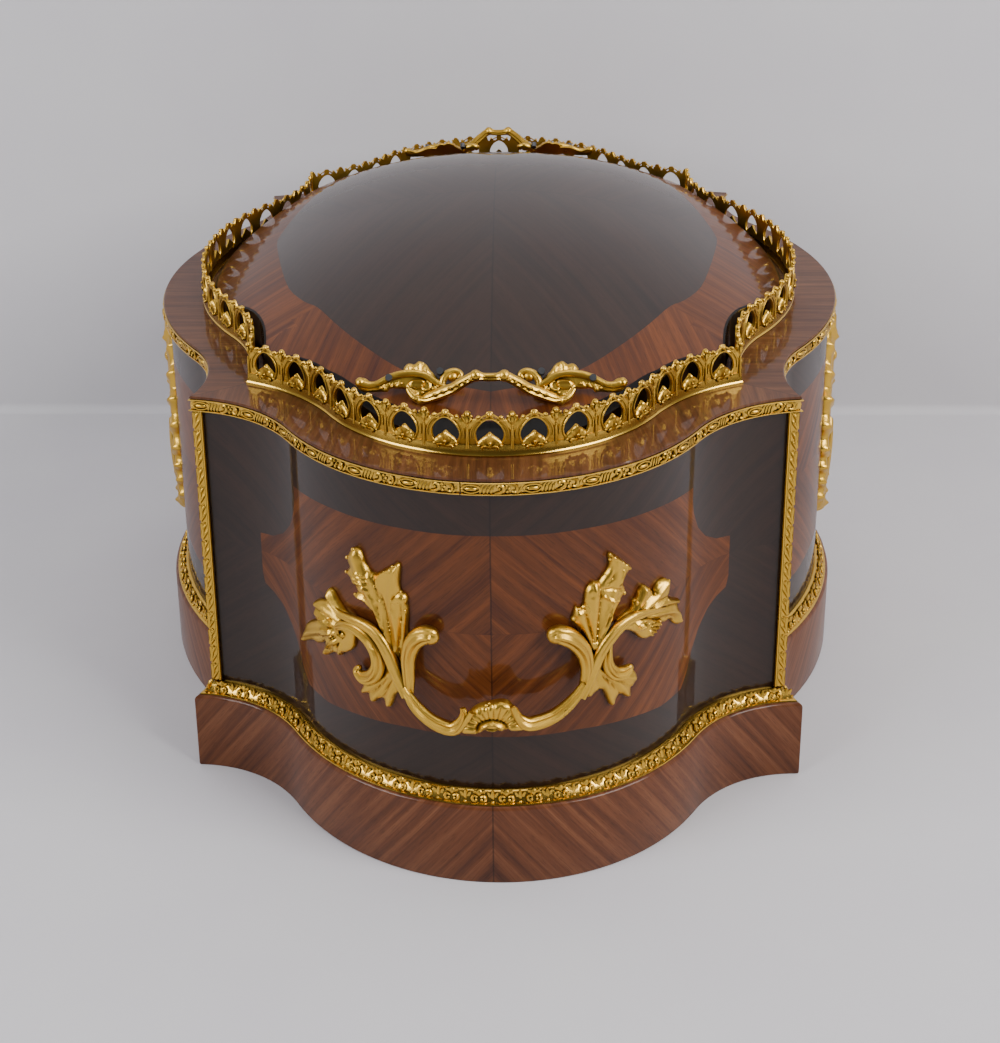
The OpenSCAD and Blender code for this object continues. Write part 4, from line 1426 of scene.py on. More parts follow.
@dataclass
class Band:
    """The gilt band under the rim's lip, cast with scrolls and cut in two on each side."""

    shop: Shop
    height: float = 4.7
    face: float = -2.5
    pitch: float = 21.5
    joint: float = -9.6
    gap: float = 0.4
    ground: float = -0.65
    jitter: float = 0.08

    def _motif(self) -> Object:
        """Draws one repeat: a bar in its frame, slanting leaves, a scroll with beads and a curl.

        Returns:
            The motif, drawn upright.
        """
        relief = Relief(flat_place)
        mid = self.height / 2
        ring = [(-7.4 + 2.9 * math.cos(a) * (1 + 0.12 * math.cos(2 * a)), mid + 1.45 * math.sin(a), 0.3, 0.34)
                for a in (*circle(16), 2 * math.pi)]
        relief.tube(ring, sides=6, steps=1)
        relief.tube([(-9.4, mid, 0.1, 0.4), (-8.8, mid, 0.3, 0.7), (-6.0, mid, 0.3, 0.7),
                     (-5.4, mid, 0.1, 0.4)], sides=8, steps=1)
        relief.ball(-10.5, mid, 0.25, 0.5, 7)
        # Slanting leaves
        for i in range(4):
            relief.petal((-4.2 + 1.25 * i, mid - 1.5), (-3.0 + 1.25 * i, mid + 1.6 - 0.15 * i), 1.1, 1.0,
                         8, 4, 0.3, -0.2)
        # Scroll round a bead
        relief.tube([(0.9, mid - 1.6, 0.2, 0.35), (2.6, mid - 1.3, 0.45, 0.5), (3.9, mid - 0.2, 0.5, 0.6),
                     (3.6, mid + 1.2, 0.5, 0.55), (2.2, mid + 1.3, 0.4, 0.45), (1.8, mid + 0.3, 0.5, 0.35)],
                    sides=7, steps=3)
        relief.ball(2.5, mid + 0.1, 0.3, 0.5, 7)
        for u, v in ((4.9, 1.1), (5.2, -0.9), (5.9, 0.2)):
            relief.ball(u, mid + v, 0.35, 0.55, 7)
        # Curl and its leaf
        relief.tube([(6.4, mid + 1.5, 0.3, 0.35), (7.9, mid + 1.4, 0.4, 0.5), (8.7, mid + 0.2, 0.5, 0.55),
                     (8.0, mid - 1.1, 0.4, 0.5), (6.9, mid - 0.8, 0.4, 0.35)], sides=7, steps=2)
        relief.petal((8.6, mid - 1.6), (10.2, mid + 0.9), 1.1, 0.9, 8, 4, -0.3, -0.2)
        return relief.build("band_motif", self.shop.palette.gilt)

    def build(self) -> None:
        """Builds both pieces of the band on each side."""
        motif = self._motif()
        outline = self.shop.outline
        hi = self.shop.case_height - 1.0
        lo, w = hi - self.height, self.face
        profile = [(w, lo), (-0.3, lo), (0.0, lo + 0.15), (0.0, lo + 0.45), (-0.25, lo + 0.6),
                   (-0.7, lo + 0.75), (-0.6, lo + 1.5), (-0.55, lo + 2.35), (-0.6, hi - 1.5),
                   (-0.7, hi - 0.75), (-0.25, hi - 0.6), (0.0, hi - 0.45), (0.0, hi - 0.15), (-0.3, hi),
                   (w, hi)]
        left, right = self.joint - self.gap / 2, self.joint + self.gap / 2
        for side in Side:
            arcs = outline.arcs(side)
            share = outline.bulge_share / (arcs.bulge_r * arcs.bulge_a)
            half = outline.half_length(side, self.ground) - 0.6
            for part, node, cut, span in (("left", "band", (-1.0, left * share), (-half, left - 0.2)),
                                          ("right", "", (right * share, 1.0), (right + 0.2, half))):
                self.shop.swept(f"band_ground_{part}", node, side, profile,
                                self.shop.palette.polished_gilt, "gilt_brass", span=cut)
                self.shop.row(f"band_scrolls_{part}", side, self.ground, lo, span, motif, self.pitch,
                              self.jitter, 11)
        bpy.data.objects.remove(motif)


@dataclass
class Gallery:
    """The pierced gallery: a flared plain foot under a row of cast bays on each side."""

    shop: Shop
    offset: float = -17.9
    pitch: float = 15.0
    hole_r: float = 4.65
    hole_z: float = 7.7
    hole_point: float = 0.9
    jitter: float = 0.04

    def _opening(self) -> list[Point2]:
        """The opening: a circle drawn out to a point at the top.

        Returns:
            Points round it.
        """
        r, z = self.hole_r, self.hole_z
        return [(r * math.cos(a), z + r * math.sin(a) + self.hole_point * max(math.sin(a), 0.0) ** 5)
                for a in (b - math.pi / 2 for b in circle(28))]

    def _motif(self) -> Object:
        """Draws one bay: rings round the opening, a column and leaf edges at each seam, buds on top.

        Returns:
            The motif, drawn upright.
        """
        relief = Relief(flat_place)
        half = self.pitch / 2
        right = [(1.0, 15.9), (1.4, 15.0), (1.15, 14.1), (1.9, 13.5), (2.7, 13.5), (3.2, 14.3), (4.0, 14.6),
            (4.6, 14.0), (4.8, 13.2), (5.5, 13.4), (5.8, 14.4), (6.3, 14.9), (6.6, 15.7), (7.1, 16.0),
            (half, 16.0)]
        skyline = [*right, (half, 9.0), (half, 2.6), (0, 2.6)]
        loop = [(0, 16.1), *skyline, *[(-u, v) for u, v in skyline[-2::-1]]]
        opening = self._opening()
        strokes = []
        for way in (-1, 1):
            strokes += [Stroke([(way * 7.4, 8.8), (way * 6.1, 10.8), (way * 4.7, 13.0),
                (way * 4.0, 14.2)], 0.55, 0.4), Stroke([(way * 7.5, 11.8), (way * 6.2, 13.2),
                (way * 5.8, 14.2)], 0.5, 0.34), Stroke([(way * 0.9, 15.6), (way * 1.0, 14.2),
                (way * 2.0, 13.2), (way * 3.6, 12.9)], 0.45, 0.36)]
        relief.sheet(loop, 0.2, 1.0, strokes, edge=0.5, base=-0.5, step=0.6, smooth=False, holes=[opening])
        # Double ring round the opening
        around = [(u * 1.09, self.hole_z + (v - self.hole_z) * 1.08, 0.4, 0.36) for u, v in opening]
        relief.tube([*around, around[0]], sides=6, steps=1)
        wide = [(u * 1.38, self.hole_z + (v - self.hole_z) * 1.34, 0.3, 0.32) for u, v in opening]
        relief.tube([p for p in wide if p[1] > 5.0 and abs(p[0]) < half], sides=6, steps=1)
        relief.tube([(half, 2.8, 0.3, 0.75), (half, 5.2, 0.3, 0.55), (half, 8.4, 0.3, 0.55),
            (half, 10.6, 0.3, 0.35)], sides=8, steps=2)
        # Palmette in the opening
        relief.sheet([(0, 8.7), (0.8, 8.1), (1.7, 7.2), (2.6, 6.6), (3.4, 5.9), (4.3, 5.0), (4.6, 4.1),
            (3.8, 3.2), (2.2, 2.8), (0, 2.5), (-2.2, 2.8), (-3.8, 3.2), (-4.6, 4.1), (-4.3, 5.0),
            (-3.4, 5.9), (-2.6, 6.6), (-1.7, 7.2), (-0.8, 8.1)], 0.8, 1.4, [Stroke([(0, 3),
            (0, 8.2)], 0.5, 0.4), Stroke([(0.7, 4), (2.9, 5.9)], -0.5, 0.34), Stroke([(-0.7, 4),
            (-2.9, 5.9)], -0.5, 0.34), Stroke([(0.7, 5.4), (1.6, 7)], -0.4, 0.3), Stroke([(-0.7, 5.4),
            (-1.6, 7)], -0.4, 0.3)], edge=0.5, base=-0.3, step=0.6)
        for way in (-1, 1):
            relief.tube([(way * 0.4, 3.6, 1.1, 0.35), (way * 1.6, 4.0, 1.3, 0.45),
                (way * 2.6, 3.5, 1.3, 0.45), (way * 2.2, 2.7, 1.2, 0.35)], sides=6, steps=2)
            relief.ball(way * 3.8, 4.1, 1.0, 0.5, 7)
            relief.ball(way * 4.0, 14.2, 0.6, 0.6, 7)
            relief.ball(way * 6.1, 14.5, 0.5, 0.5, 7)
        relief.ball(0, 5.2, 1.5, 0.55, 7)
        # Buds above the opening and on the right seam
        relief.ball(0, 15.1, 0.3, 0.95, 9)
        relief.ball(half, 15.1, 0.3, 0.9, 9)
        relief.petal((half, 11.6), (half, 14.6), 1.3, 0.9, 8, 4)
        return relief.build("gallery_motif", self.shop.palette.gilt)

    def build(self) -> None:
        """Builds the gallery on each side."""
        motif = self._motif()
        z = self.shop.case_height
        foot = [(-19.5, z), (-16.5, z), (-16.5, z + 0.55), (-16.75, z + 0.8), (-16.9, z + 1.4),
                (-17.1, z + 2.4), (-17.25, z + 3.4), (-17.4, z + 4.1), (-18.3, z + 4.1), (-18.6, z + 2.8),
                (-19.1, z + 1.4), (-19.5, z + 1.0)]
        for side in Side:
            self.shop.swept("gallery_foot", "gallery", side, foot, self.shop.palette.polished_gilt,
                            "gilt_brass")
            half = self.shop.outline.half_length(side, self.offset)
            self.shop.row("gallery_bays", side, self.offset, z, (-half, half), motif, self.pitch,
                          self.jitter, 21)
        bpy.data.objects.remove(motif)


@dataclass
class CornerStrips:
    """Upright gilt strips on the corners: a row of leaves beside a plain fillet."""

    shop: Shop
    face: float = -2.5
    low: float = 36.5
    below_top: float = 5.7
    width: float = 4.6
    thickness: float = 2.0
    pitch: float = 7.4
    least_share: float = 0.12

    def build(self) -> None:
        """Builds the four strips, each folded round its corner."""
        sides = list(Side)
        for side, node in zip(sides, ("front_right", "back_right", "back_left", "front_left")):
            builder = MeshBuilder()
            self._leg(builder, side, 1)
            self._leg(builder, sides[(side.value + 1) % 4], -1)
            obj = builder.build(f"corner_strip_cast_{node}", [self.shop.palette.gilt], 40.0)
            self.shop.fit(obj, "case", "gilt_brass", f"corner_strip_{node}")

    def _leg(self, builder: MeshBuilder, side: Side, way: int) -> None:
        """One leg of a strip; u runs inwards along the wall from the mitre at its own stand-off.

        Args:
            builder: the strip.
            side: the wall's side.
            way: 1 for the wall's right end and -1 for its left one.
        """
        outline, w, t, z0 = self.shop.outline, self.width, self.thickness, self.low
        tip = outline.corner(self.face + t)

        def place(u: float, v: float, h: float) -> Point3:
            """Puts a drawn point beside the corner, drawn together towards the wall."""
            offset = self.face + min(max(h, 0.0), t)
            back = math.dist(tip, outline.corner(offset))
            share = max((w - back) / w, self.least_share)
            p = outline.at_length(side, offset, way * (outline.half_length(side, offset) - u * share))
            return (p.x, p.y, v)

        leg = Relief(place, builder)
        z1 = self.shop.case_height - self.below_top
        section = [(0.0, 0.0), (0.0, t - 0.5), (w - 1.6, t - 0.8), (w - 1.4, t - 1.0), (w - 1.2, t - 0.4),
                   (w - 0.7, t - 0.3), (w - 0.5, t - 0.6), (w - 0.3, t - 0.5), (w, t - 0.9), (w, 0.0)]
        leg.rings([[(u, z, h) for u, h in section] for z in (z0, z1)])
        count = round((z1 - z0) / self.pitch)
        step = (z1 - z0) / count
        for i in range(count):
            z = z0 + (i + 0.5) * step
            leg.petal((0.3, z - step * 0.5), (2.9, z + step * 0.05), 1.6, 1.3, 9, 5, 0.2, t - 1.3)
            leg.petal((0.2, z - step * 0.1), (2.8, z + step * 0.45), 1.5, 1.3, 9, 5, 0.2, t - 1.3)
            leg.tube([(0.3, z - step * 0.4, t - 0.5, 0.4), (1.0, z, t - 0.3, 0.45),
                      (0.4, z + step * 0.4, t - 0.5, 0.4)], sides=7, steps=2)
            leg.ball(1.7, z + step * 0.42, t - 0.5, 0.45, 7)


# Mounts on the walls


@dataclass
class EndHandles:
    """The foliate mounts on the ends, joined by a bail with a shell."""

    shop: Shop
    face: float = -2.5
    reach: float = 14.2

    def _left(self, relief: Relief) -> None:
        """The left mount: crown, fan and lower leaf behind a ribbon, a C scroll and a volute.

        Args:
            relief: the casting.
        """
        # Crown of two leaves
        relief.sheet([(-37, 90), (-40.3, 97.5), (-41.5, 101), (-44.5, 102.5), (-48.7, 103.3),
            (-48.3, 105.2), (-48, 107), (-49.2, 108.6), (-50.6, 110.2), (-52.6, 111.8), (-51.4, 113.6),
            (-50.8, 114.8), (-51.6, 116.6), (-51.7, 118.6), (-50.6, 120.4), (-49.3, 122), (-47.8, 122.6),
            (-46.3, 121.6), (-45.2, 119.6), (-44.4, 117.3), (-43, 115.5), (-41.4, 114.6), (-39.8, 115.2),
            (-38.3, 116.4), (-36.4, 117.8), (-34.5, 119), (-32.9, 120.3), (-31.4, 121), (-30.7, 119.8),
            (-30.9, 116.5), (-31.2, 112.6), (-30.7, 110.4), (-29.4, 109.7), (-28.3, 108), (-28.6, 105.8),
            (-28.2, 104), (-28.4, 99.5), (-28.6, 95), (-28.2, 88), (-28.0, 80), (-30.0, 79),
            (-33, 84)], 2.0, 2.6, [Stroke([(-33.5, 88), (-37.5, 97), (-42, 106), (-46, 113),
            (-48.4, 119.5)], 1.5, 1.3, 0.6), Stroke([(-31.6, 90), (-32.8, 100), (-34, 108),
            (-32.4, 118)], 1.0, 1.0, 0.5), Stroke([(-33.6, 88), (-35, 96), (-36.2, 103),
            (-37.6, 108)], -1.4, 0.5), Stroke([(-31.6, 86), (-30.9, 93), (-30.6, 101),
            (-30.4, 106)], -1.2, 0.45), Stroke([(-36, 91), (-37.6, 98), (-39.4, 104)], -1.0, 0.4),
            Stroke([(-41.3, 114.8), (-39.8, 110.5), (-38.4, 106)], -1.6, 0.5, 0.4), Stroke([(-43.6, 116),
            (-43, 111), (-41.4, 106.6)], -0.9, 0.4, 0.5), *[Stroke([(-49.6 + i * 0.5, 109.4 + i * 1.5),
            (-45.6, 109.6 + i * 1.4), (-42.4, 108.4 + i * 1.6)], 0.8, 0.42, 0.3) for i in range(4)],
            Stroke([(-48.2, 104.6), (-44.6, 104.3), (-41.4, 102)], 0.9, 0.6), Stroke([(-48, 106.2),
            (-44.4, 106)], -0.9, 0.35), Stroke([(-29, 104), (-30.5, 100)], -0.8, 0.35),
            Stroke([(-31, 110.3), (-33.4, 107.4), (-33.8, 103)], -1.1, 0.4), Stroke([(-34.6, 118.6),
            (-38.4, 115.2), (-39, 111)], 0.7, 0.5)])
        for s, z, r in ((-40.2, 110.4, 0.8), (-37.8, 108.9, 0.7), (-35, 108.3, 0.6), (-32.4, 110.6, 0.6),
                (-32.3, 108.2, 0.6), (-29.4, 108.4, 0.7), (-31.2, 102.7, 0.6), (-28.9, 104, 0.6),
                (-40.8, 103.3, 0.7), (-51.4, 118, 0.8), (-52, 112.2, 0.7), (-48.6, 122, 0.9),
                (-33.1, 119.8, 0.7), (-48.3, 104.7, 0.8), (-38.6, 95.8, 0.7), (-47, 111.9, 0.9)):
            relief.ball(s, z, 1.9, r * 0.85)
        # Fan round the eye
        relief.sheet([(-49, 94), (-53.6, 95.3), (-55.6, 96.8), (-57.6, 98.8), (-59.4, 100.8),
            (-61.5, 101.6), (-63, 100.4), (-63.3, 98.4), (-63, 96.4), (-64.6, 95.7), (-67.4, 94.8),
            (-69.6, 93.4), (-70.8, 91.4), (-70.2, 89.3), (-70.1, 87), (-70.3, 85.4), (-73, 83.6),
            (-76.2, 81.2), (-77.5, 79), (-78.2, 76), (-79.5, 73.4), (-78.4, 72.3), (-76, 73.6), (-73, 75.3),
            (-71, 75.8), (-69.2, 75.9), (-67, 77.1), (-65.2, 78.3), (-65.6, 76.4), (-65.9, 74), (-65.1, 73),
            (-63.7, 73.8), (-61.6, 75.5), (-60, 76.8), (-58.6, 76.4), (-57, 76.4), (-56, 78), (-54, 79),
            (-52, 80.5), (-50.4, 82.6), (-50, 85), (-49.6, 87.6), (-48, 90)], 1.7, 2.4, [Stroke([(-55, 94),
            (-58.5, 96.4), (-61.4, 99.4)], 1.1, 0.8), Stroke([(-56, 91.5), (-63.4, 92.6),
            (-69, 92.6)], 1.1, 1.0), Stroke([(-58, 88.4), (-64, 88.8), (-69.6, 88.6)], 0.9, 0.9),
            Stroke([(-58.6, 85.6), (-67, 82.4), (-75, 77.6), (-78.4, 73.4)], 1.3, 1.2), Stroke([(-58, 82.8),
            (-62, 78.6), (-65, 74.4)], 1.0, 0.8), Stroke([(-56, 81.6), (-57, 77.6)], 0.8, 0.7),
            Stroke([(-56.4, 93), (-60, 95), (-63.2, 96)], -1.2, 0.4), Stroke([(-57, 90.2), (-64, 90.6),
            (-70, 90.4)], -1.1, 0.38), Stroke([(-58, 87), (-64, 86.6), (-70.4, 85.6)], -1.2, 0.42),
            Stroke([(-58.4, 84), (-62.6, 81), (-65.2, 78.6)], -1.2, 0.4), Stroke([(-56.6, 82), (-59.2, 79),
            (-60, 77)], -1.0, 0.38), Stroke([(-66, 81), (-72, 77.6), (-78, 74)], -0.6, 0.4),
            *[Stroke([polar((-55.2, 86.6), (5.4, 5.4), a), polar((-55.2, 86.6), (10.4, 10.4),
            a - 6)], 1.1, 0.42) for a in range(-58, 34, 13)]])
        relief.ball(-54.4, 86.6, 2.4, 1.1, flat=0.8)
        # Lower leaf
        relief.sheet([(-37, 82), (-40, 77), (-43, 73), (-46.3, 70.6), (-47.5, 67.8), (-48.1, 65.8),
            (-47, 65), (-45.2, 65.8), (-44.6, 64.4), (-43.7, 63.2), (-42.3, 63.3), (-41, 64.6),
            (-39.6, 65.7), (-38.3, 65.5), (-37.8, 64), (-36.8, 63), (-35.8, 63.7), (-35, 65.6), (-34.2, 68),
            (-33, 70), (-31.5, 70.8), (-30.2, 70), (-29.3, 69.4), (-28.9, 71), (-30.4, 75),
            (-33, 80)], 1.5, 2.6, [Stroke([(-34, 80), (-38, 74.4), (-43, 70), (-47, 66.4)], 0.7, 0.9),
            Stroke([(-33.4, 79), (-37.6, 72), (-42.8, 64.6)], 0.7, 0.9), Stroke([(-32.8, 78), (-35, 71),
            (-36.8, 64.6)], 0.8, 1.0), Stroke([(-31.6, 77), (-31, 72.4)], 0.5, 0.7), Stroke([(-35.4, 77),
            (-40.4, 70), (-45, 66)], -0.7, 0.4), Stroke([(-34, 76.4), (-37, 70.4), (-38.8, 66)], -0.7, 0.4),
            Stroke([(-32.6, 76), (-33.2, 71)], -0.6, 0.4)])
        # C scroll with its raised double edge
        relief.tube([(-54.4, 85.2, 2.4, 0.7), (-56.6, 86.4, 2.8, 1.0), (-56.2, 89.2, 3.0, 1.4),
            (-52.2, 91.5, 3.2, 1.9), (-47, 92, 3.4, 2.2), (-42.3, 89.6, 3.4, 2.4), (-39.5, 85, 3.4, 2.4),
            (-39.2, 79.8, 3.3, 2.5), (-41.4, 75.4, 3.2, 2.7), (-45.2, 73.4, 3.1, 2.5),
            (-48, 74.8, 2.9, 1.7), (-47, 76.8, 2.6, 0.9)], sides=26, groove=0.34, steps=6)
        relief.ball(-47.2, 76.4, 2.8, 1.0)
        # Ribbon from the bail up to the fan
        relief.tube([(-27.6, 73.4, 6.4, 1.6), (-29.6, 76.6, 5.2, 2.0), (-31.9, 80.8, 4.4, 2.2),
            (-34.3, 86, 3.9, 2.3), (-37.3, 91, 3.7, 2.2), (-41.3, 94, 3.4, 2.0), (-46, 95, 3.2, 1.8),
            (-51, 94.8, 2.9, 1.6), (-55.6, 94.8, 2.6, 1.2), (-59.6, 96.6, 2.2, 0.8)], sides=20, steps=6,
            channel=0.4)
        # Volute with its rounded end
        relief.tube([(-26.1, 73.6, 6.4, 1.0), (-26.8, 77.6, 5.2, 1.9), (-27.3, 83, 4.3, 2.3),
            (-27.2, 88, 4.0, 2.6), (-25.7, 93, 3.9, 3.0), (-22.8, 96.6, 3.9, 3.3), (-19.8, 97.4, 3.7, 3.1),
            (-18.5, 95.8, 3.3, 1.9)], sides=26, steps=6, groove=0.26)
        relief.ball(-19.6, 96.9, 3.6, 3.0, 16, 0.85)

    def _right(self, relief: Relief) -> None:
        """The right mount, like the left one but not its mirror image.

        Args:
            relief: the casting.
        """
        # Crown
        relief.sheet([(36, 88), (39, 93), (42.6, 98), (42.4, 100.4), (43.4, 102.6), (45, 104.8),
            (46.4, 106), (47, 108), (46.3, 110), (46.6, 111.6), (47.8, 113.8), (49.3, 115.7), (48, 117.2),
            (46.3, 118.9), (44.5, 120.8), (42.7, 122.4), (41, 123.2), (40.4, 121.8), (40.9, 119.4),
            (40.2, 117), (38.4, 114.9), (37, 113.4), (35, 113.7), (33.6, 113), (32.4, 111.4), (31.9, 109.6),
            (31.6, 107), (31.2, 105.3), (30, 104.9), (28.8, 105.5), (28, 104), (27.5, 102), (27, 100.4),
            (29.4, 96.4), (31.6, 90), (31.6, 84), (31.2, 79), (33.2, 80)], 2.0, 2.6, [Stroke([(35.6, 88),
            (38.4, 97), (41, 105), (43, 112), (43.4, 119.4)], 1.4, 1.2, 0.6), Stroke([(34.6, 89),
            (34.6, 97), (34.8, 104), (35.2, 110.6)], 1.0, 1.3, 0.3), Stroke([(33.6, 90), (31.6, 97),
            (29.4, 103)], 0.9, 0.9, 0.3), Stroke([(36, 90), (39.6, 97), (44, 104.6)], 0.8, 0.8),
            Stroke([(34.2, 92), (32.8, 99), (31.4, 104.6)], -1.1, 0.42), Stroke([(35.6, 92), (36.4, 100),
            (37.2, 108), (37, 113)], -1.3, 0.45), Stroke([(36.8, 92.6), (39.6, 99), (42, 105)], -1.1, 0.42),
            Stroke([(38.2, 108.2), (41, 106), (43.6, 105.4)], 1.0, 0.5), Stroke([(38, 110.6), (42, 110),
            (45.6, 108)], -1.0, 0.45), Stroke([(39.4, 112.6), (41.6, 114.6), (42.4, 117)], -0.9, 0.5),
            Stroke([(41.2, 122.6), (44.6, 119.8), (48.4, 115.8)], 0.9, 0.4), Stroke([(44.4, 112),
            (45.6, 115.6)], 0.9, 0.7), Stroke([(34, 109), (34.6, 112.4)], -0.8, 0.35), Stroke([(36, 109),
            (36.2, 112.4)], -0.8, 0.35)])
        for s, z, r in ((35.2, 111.6, 0.9), (36.8, 110.8, 0.7), (38.4, 107.8, 0.7), (42.4, 108.3, 0.8),
                (46.2, 106.8, 0.9), (29.5, 105, 0.7), (44.4, 113.8, 1.1), (41.4, 113.6, 0.8),
                (48.4, 115.6, 0.7), (43, 106, 0.7), (37.4, 99, 0.7), (40.4, 121.4, 0.7)):
            relief.ball(s, z, 1.9, r * 0.85)
        # Fan
        relief.sheet([(44, 96), (49.6, 99), (50.6, 101.6), (52, 102.3), (53, 104.4), (54.2, 105.7),
            (55.6, 106.2), (57.5, 105), (59.4, 102.6), (60.3, 101.5), (60.6, 102.8), (62.6, 104.4),
            (66, 104.8), (67.8, 103.3), (68.6, 101), (68.1, 98.5), (67.8, 97), (69.4, 95.8), (72, 94.2),
            (74.6, 92.8), (73.8, 91.6), (73.5, 90.3), (74.5, 88), (75, 85.6), (75.8, 83.8), (74, 82.8),
            (72, 84), (70.4, 86), (68.3, 87.5), (65.5, 87.5), (63, 88.8), (60, 88), (56, 90),
            (50, 93)], 1.6, 2.4, [Stroke([(50, 97.4), (53, 101), (55.6, 105)], 1.0, 0.9), Stroke([(54, 97),
            (60, 99.4), (66.4, 103.4)], 1.1, 1.0), Stroke([(56, 95.6), (64, 96), (73, 93)], 0.9, 0.8),
            Stroke([(58, 94), (66, 92), (72, 89), (75, 84.4)], 1.2, 1.1), Stroke([(51.6, 96.6), (56.4, 100),
            (60, 101.8)], -1.2, 0.42), Stroke([(55, 96.4), (62, 97.6), (68, 97.6)], -1.2, 0.4),
            Stroke([(58, 94.8), (66, 94.2), (73.4, 91.6)], -1.0, 0.38), Stroke([(62, 90.4), (68, 89.6),
            (72, 85.6)], -0.8, 0.4)])
        for s, z, r in ((51.6, 101, 1.0), (66.8, 95.8, 1.0), (60, 101.4, 0.6), (67, 103.6, 0.7),
                (53.4, 99.6, 0.6)):
            relief.ball(s, z, 1.9, r * 0.85)
        # Cup with short ribs round a sunk eye
        relief.sheet([(44.6, 93.4), (48, 95.4), (51.2, 95.8), (55, 94.9), (57.2, 93.6), (60, 91.8),
            (62.6, 91), (62.9, 89.5), (61.6, 87.6), (59, 86), (56, 85.6), (53.4, 86.6), (51, 89.4),
            (48.4, 91.4)], 1.9, 2.0, [Stroke([(50.8, 93.6), (53, 94), (55.4, 93.2), (54.6, 91.4),
            (52.4, 91.2), (50.8, 93.4)], 0.8, 0.45), Stroke([(52, 92.6), (54, 92.6)], -1.5, 0.7),
            *[Stroke([(56.2, 92.2 - i * 1.1),
            (62.4 - i * 0.5, 90.9 - i * 1.5)], 0.9, 0.4) for i in range(5)],
            *[Stroke([(57.2, 91.6 - i * 1.1),
            (62 - i * 0.6, 90.1 - i * 1.4)], -0.8, 0.3) for i in range(4)]], base=0.8)
        # Lower leaf
        relief.sheet([(38, 84), (34.6, 80), (33.6, 75), (33, 70.6), (33.5, 68.9), (34.8, 69.6),
            (36.5, 70.5), (38.3, 70.8), (39.8, 68.5), (40.8, 65.8), (42.3, 63), (43.8, 64), (44.8, 66.1),
            (46.2, 66.3), (47.5, 65.3), (49, 64.2), (50.2, 65.2), (50.5, 67), (52.2, 69), (53, 71.4),
            (52.2, 73.4), (49.6, 75), (45, 76.4), (41, 80)], 1.5, 2.6, [Stroke([(36.6, 80), (39.6, 72.6),
            (42.3, 64.6)], 0.8, 0.9), Stroke([(38, 79), (44.4, 72), (49, 65.6)], 0.8, 0.9),
            Stroke([(40, 78), (47, 74), (52, 71)], 0.7, 0.9), Stroke([(35.6, 80), (35, 75),
            (34, 70.2)], 0.5, 0.7), Stroke([(37.4, 78), (42.8, 71), (45.6, 66.8)], -0.8, 0.4),
            Stroke([(40, 76.6), (46.6, 71.4), (50.6, 67.6)], -0.8, 0.4), Stroke([(36, 77),
            (37.4, 71.4)], -0.6, 0.4)])
        # Hook
        relief.tube([(40.6, 91, 2.6, 1.0), (39.4, 86.4, 3.0, 1.7), (39.6, 81.4, 3.2, 2.1),
            (42, 77.6, 3.2, 2.5), (45.6, 76.4, 3.1, 2.6), (48.6, 77, 2.9, 1.8)], sides=26, groove=0.34,
            steps=6)
        relief.ball(48.4, 77, 2.7, 1.6, 12, 0.9)
        # Ribbon up to the fan
        relief.tube([(28.6, 73.6, 6.4, 1.6), (31, 77.4, 5.2, 1.9), (33.4, 82, 4.4, 2.1),
            (36, 87.4, 3.9, 2.2), (39.6, 92, 3.7, 2.2), (44, 95.4, 3.4, 2.1), (49, 96.8, 3.1, 1.9),
            (54, 96.6, 2.8, 1.6), (59, 95.4, 2.5, 1.2), (65, 93.6, 2.2, 0.8)], sides=20, steps=6,
            channel=0.4)
        # Volute
        relief.tube([(28.4, 74.4, 6.0, 1.2), (30.6, 79.4, 4.9, 1.9), (31.3, 84.4, 4.3, 2.3),
            (30.2, 89.6, 4.0, 2.8), (27.4, 94, 3.9, 3.1), (24, 97, 3.9, 3.4), (20.9, 97.9, 3.7, 3.1),
            (19.3, 96.6, 3.3, 2.0)], sides=26, steps=6, groove=0.26)
        relief.ball(21, 97.6, 3.6, 3.1, 16, 0.85)

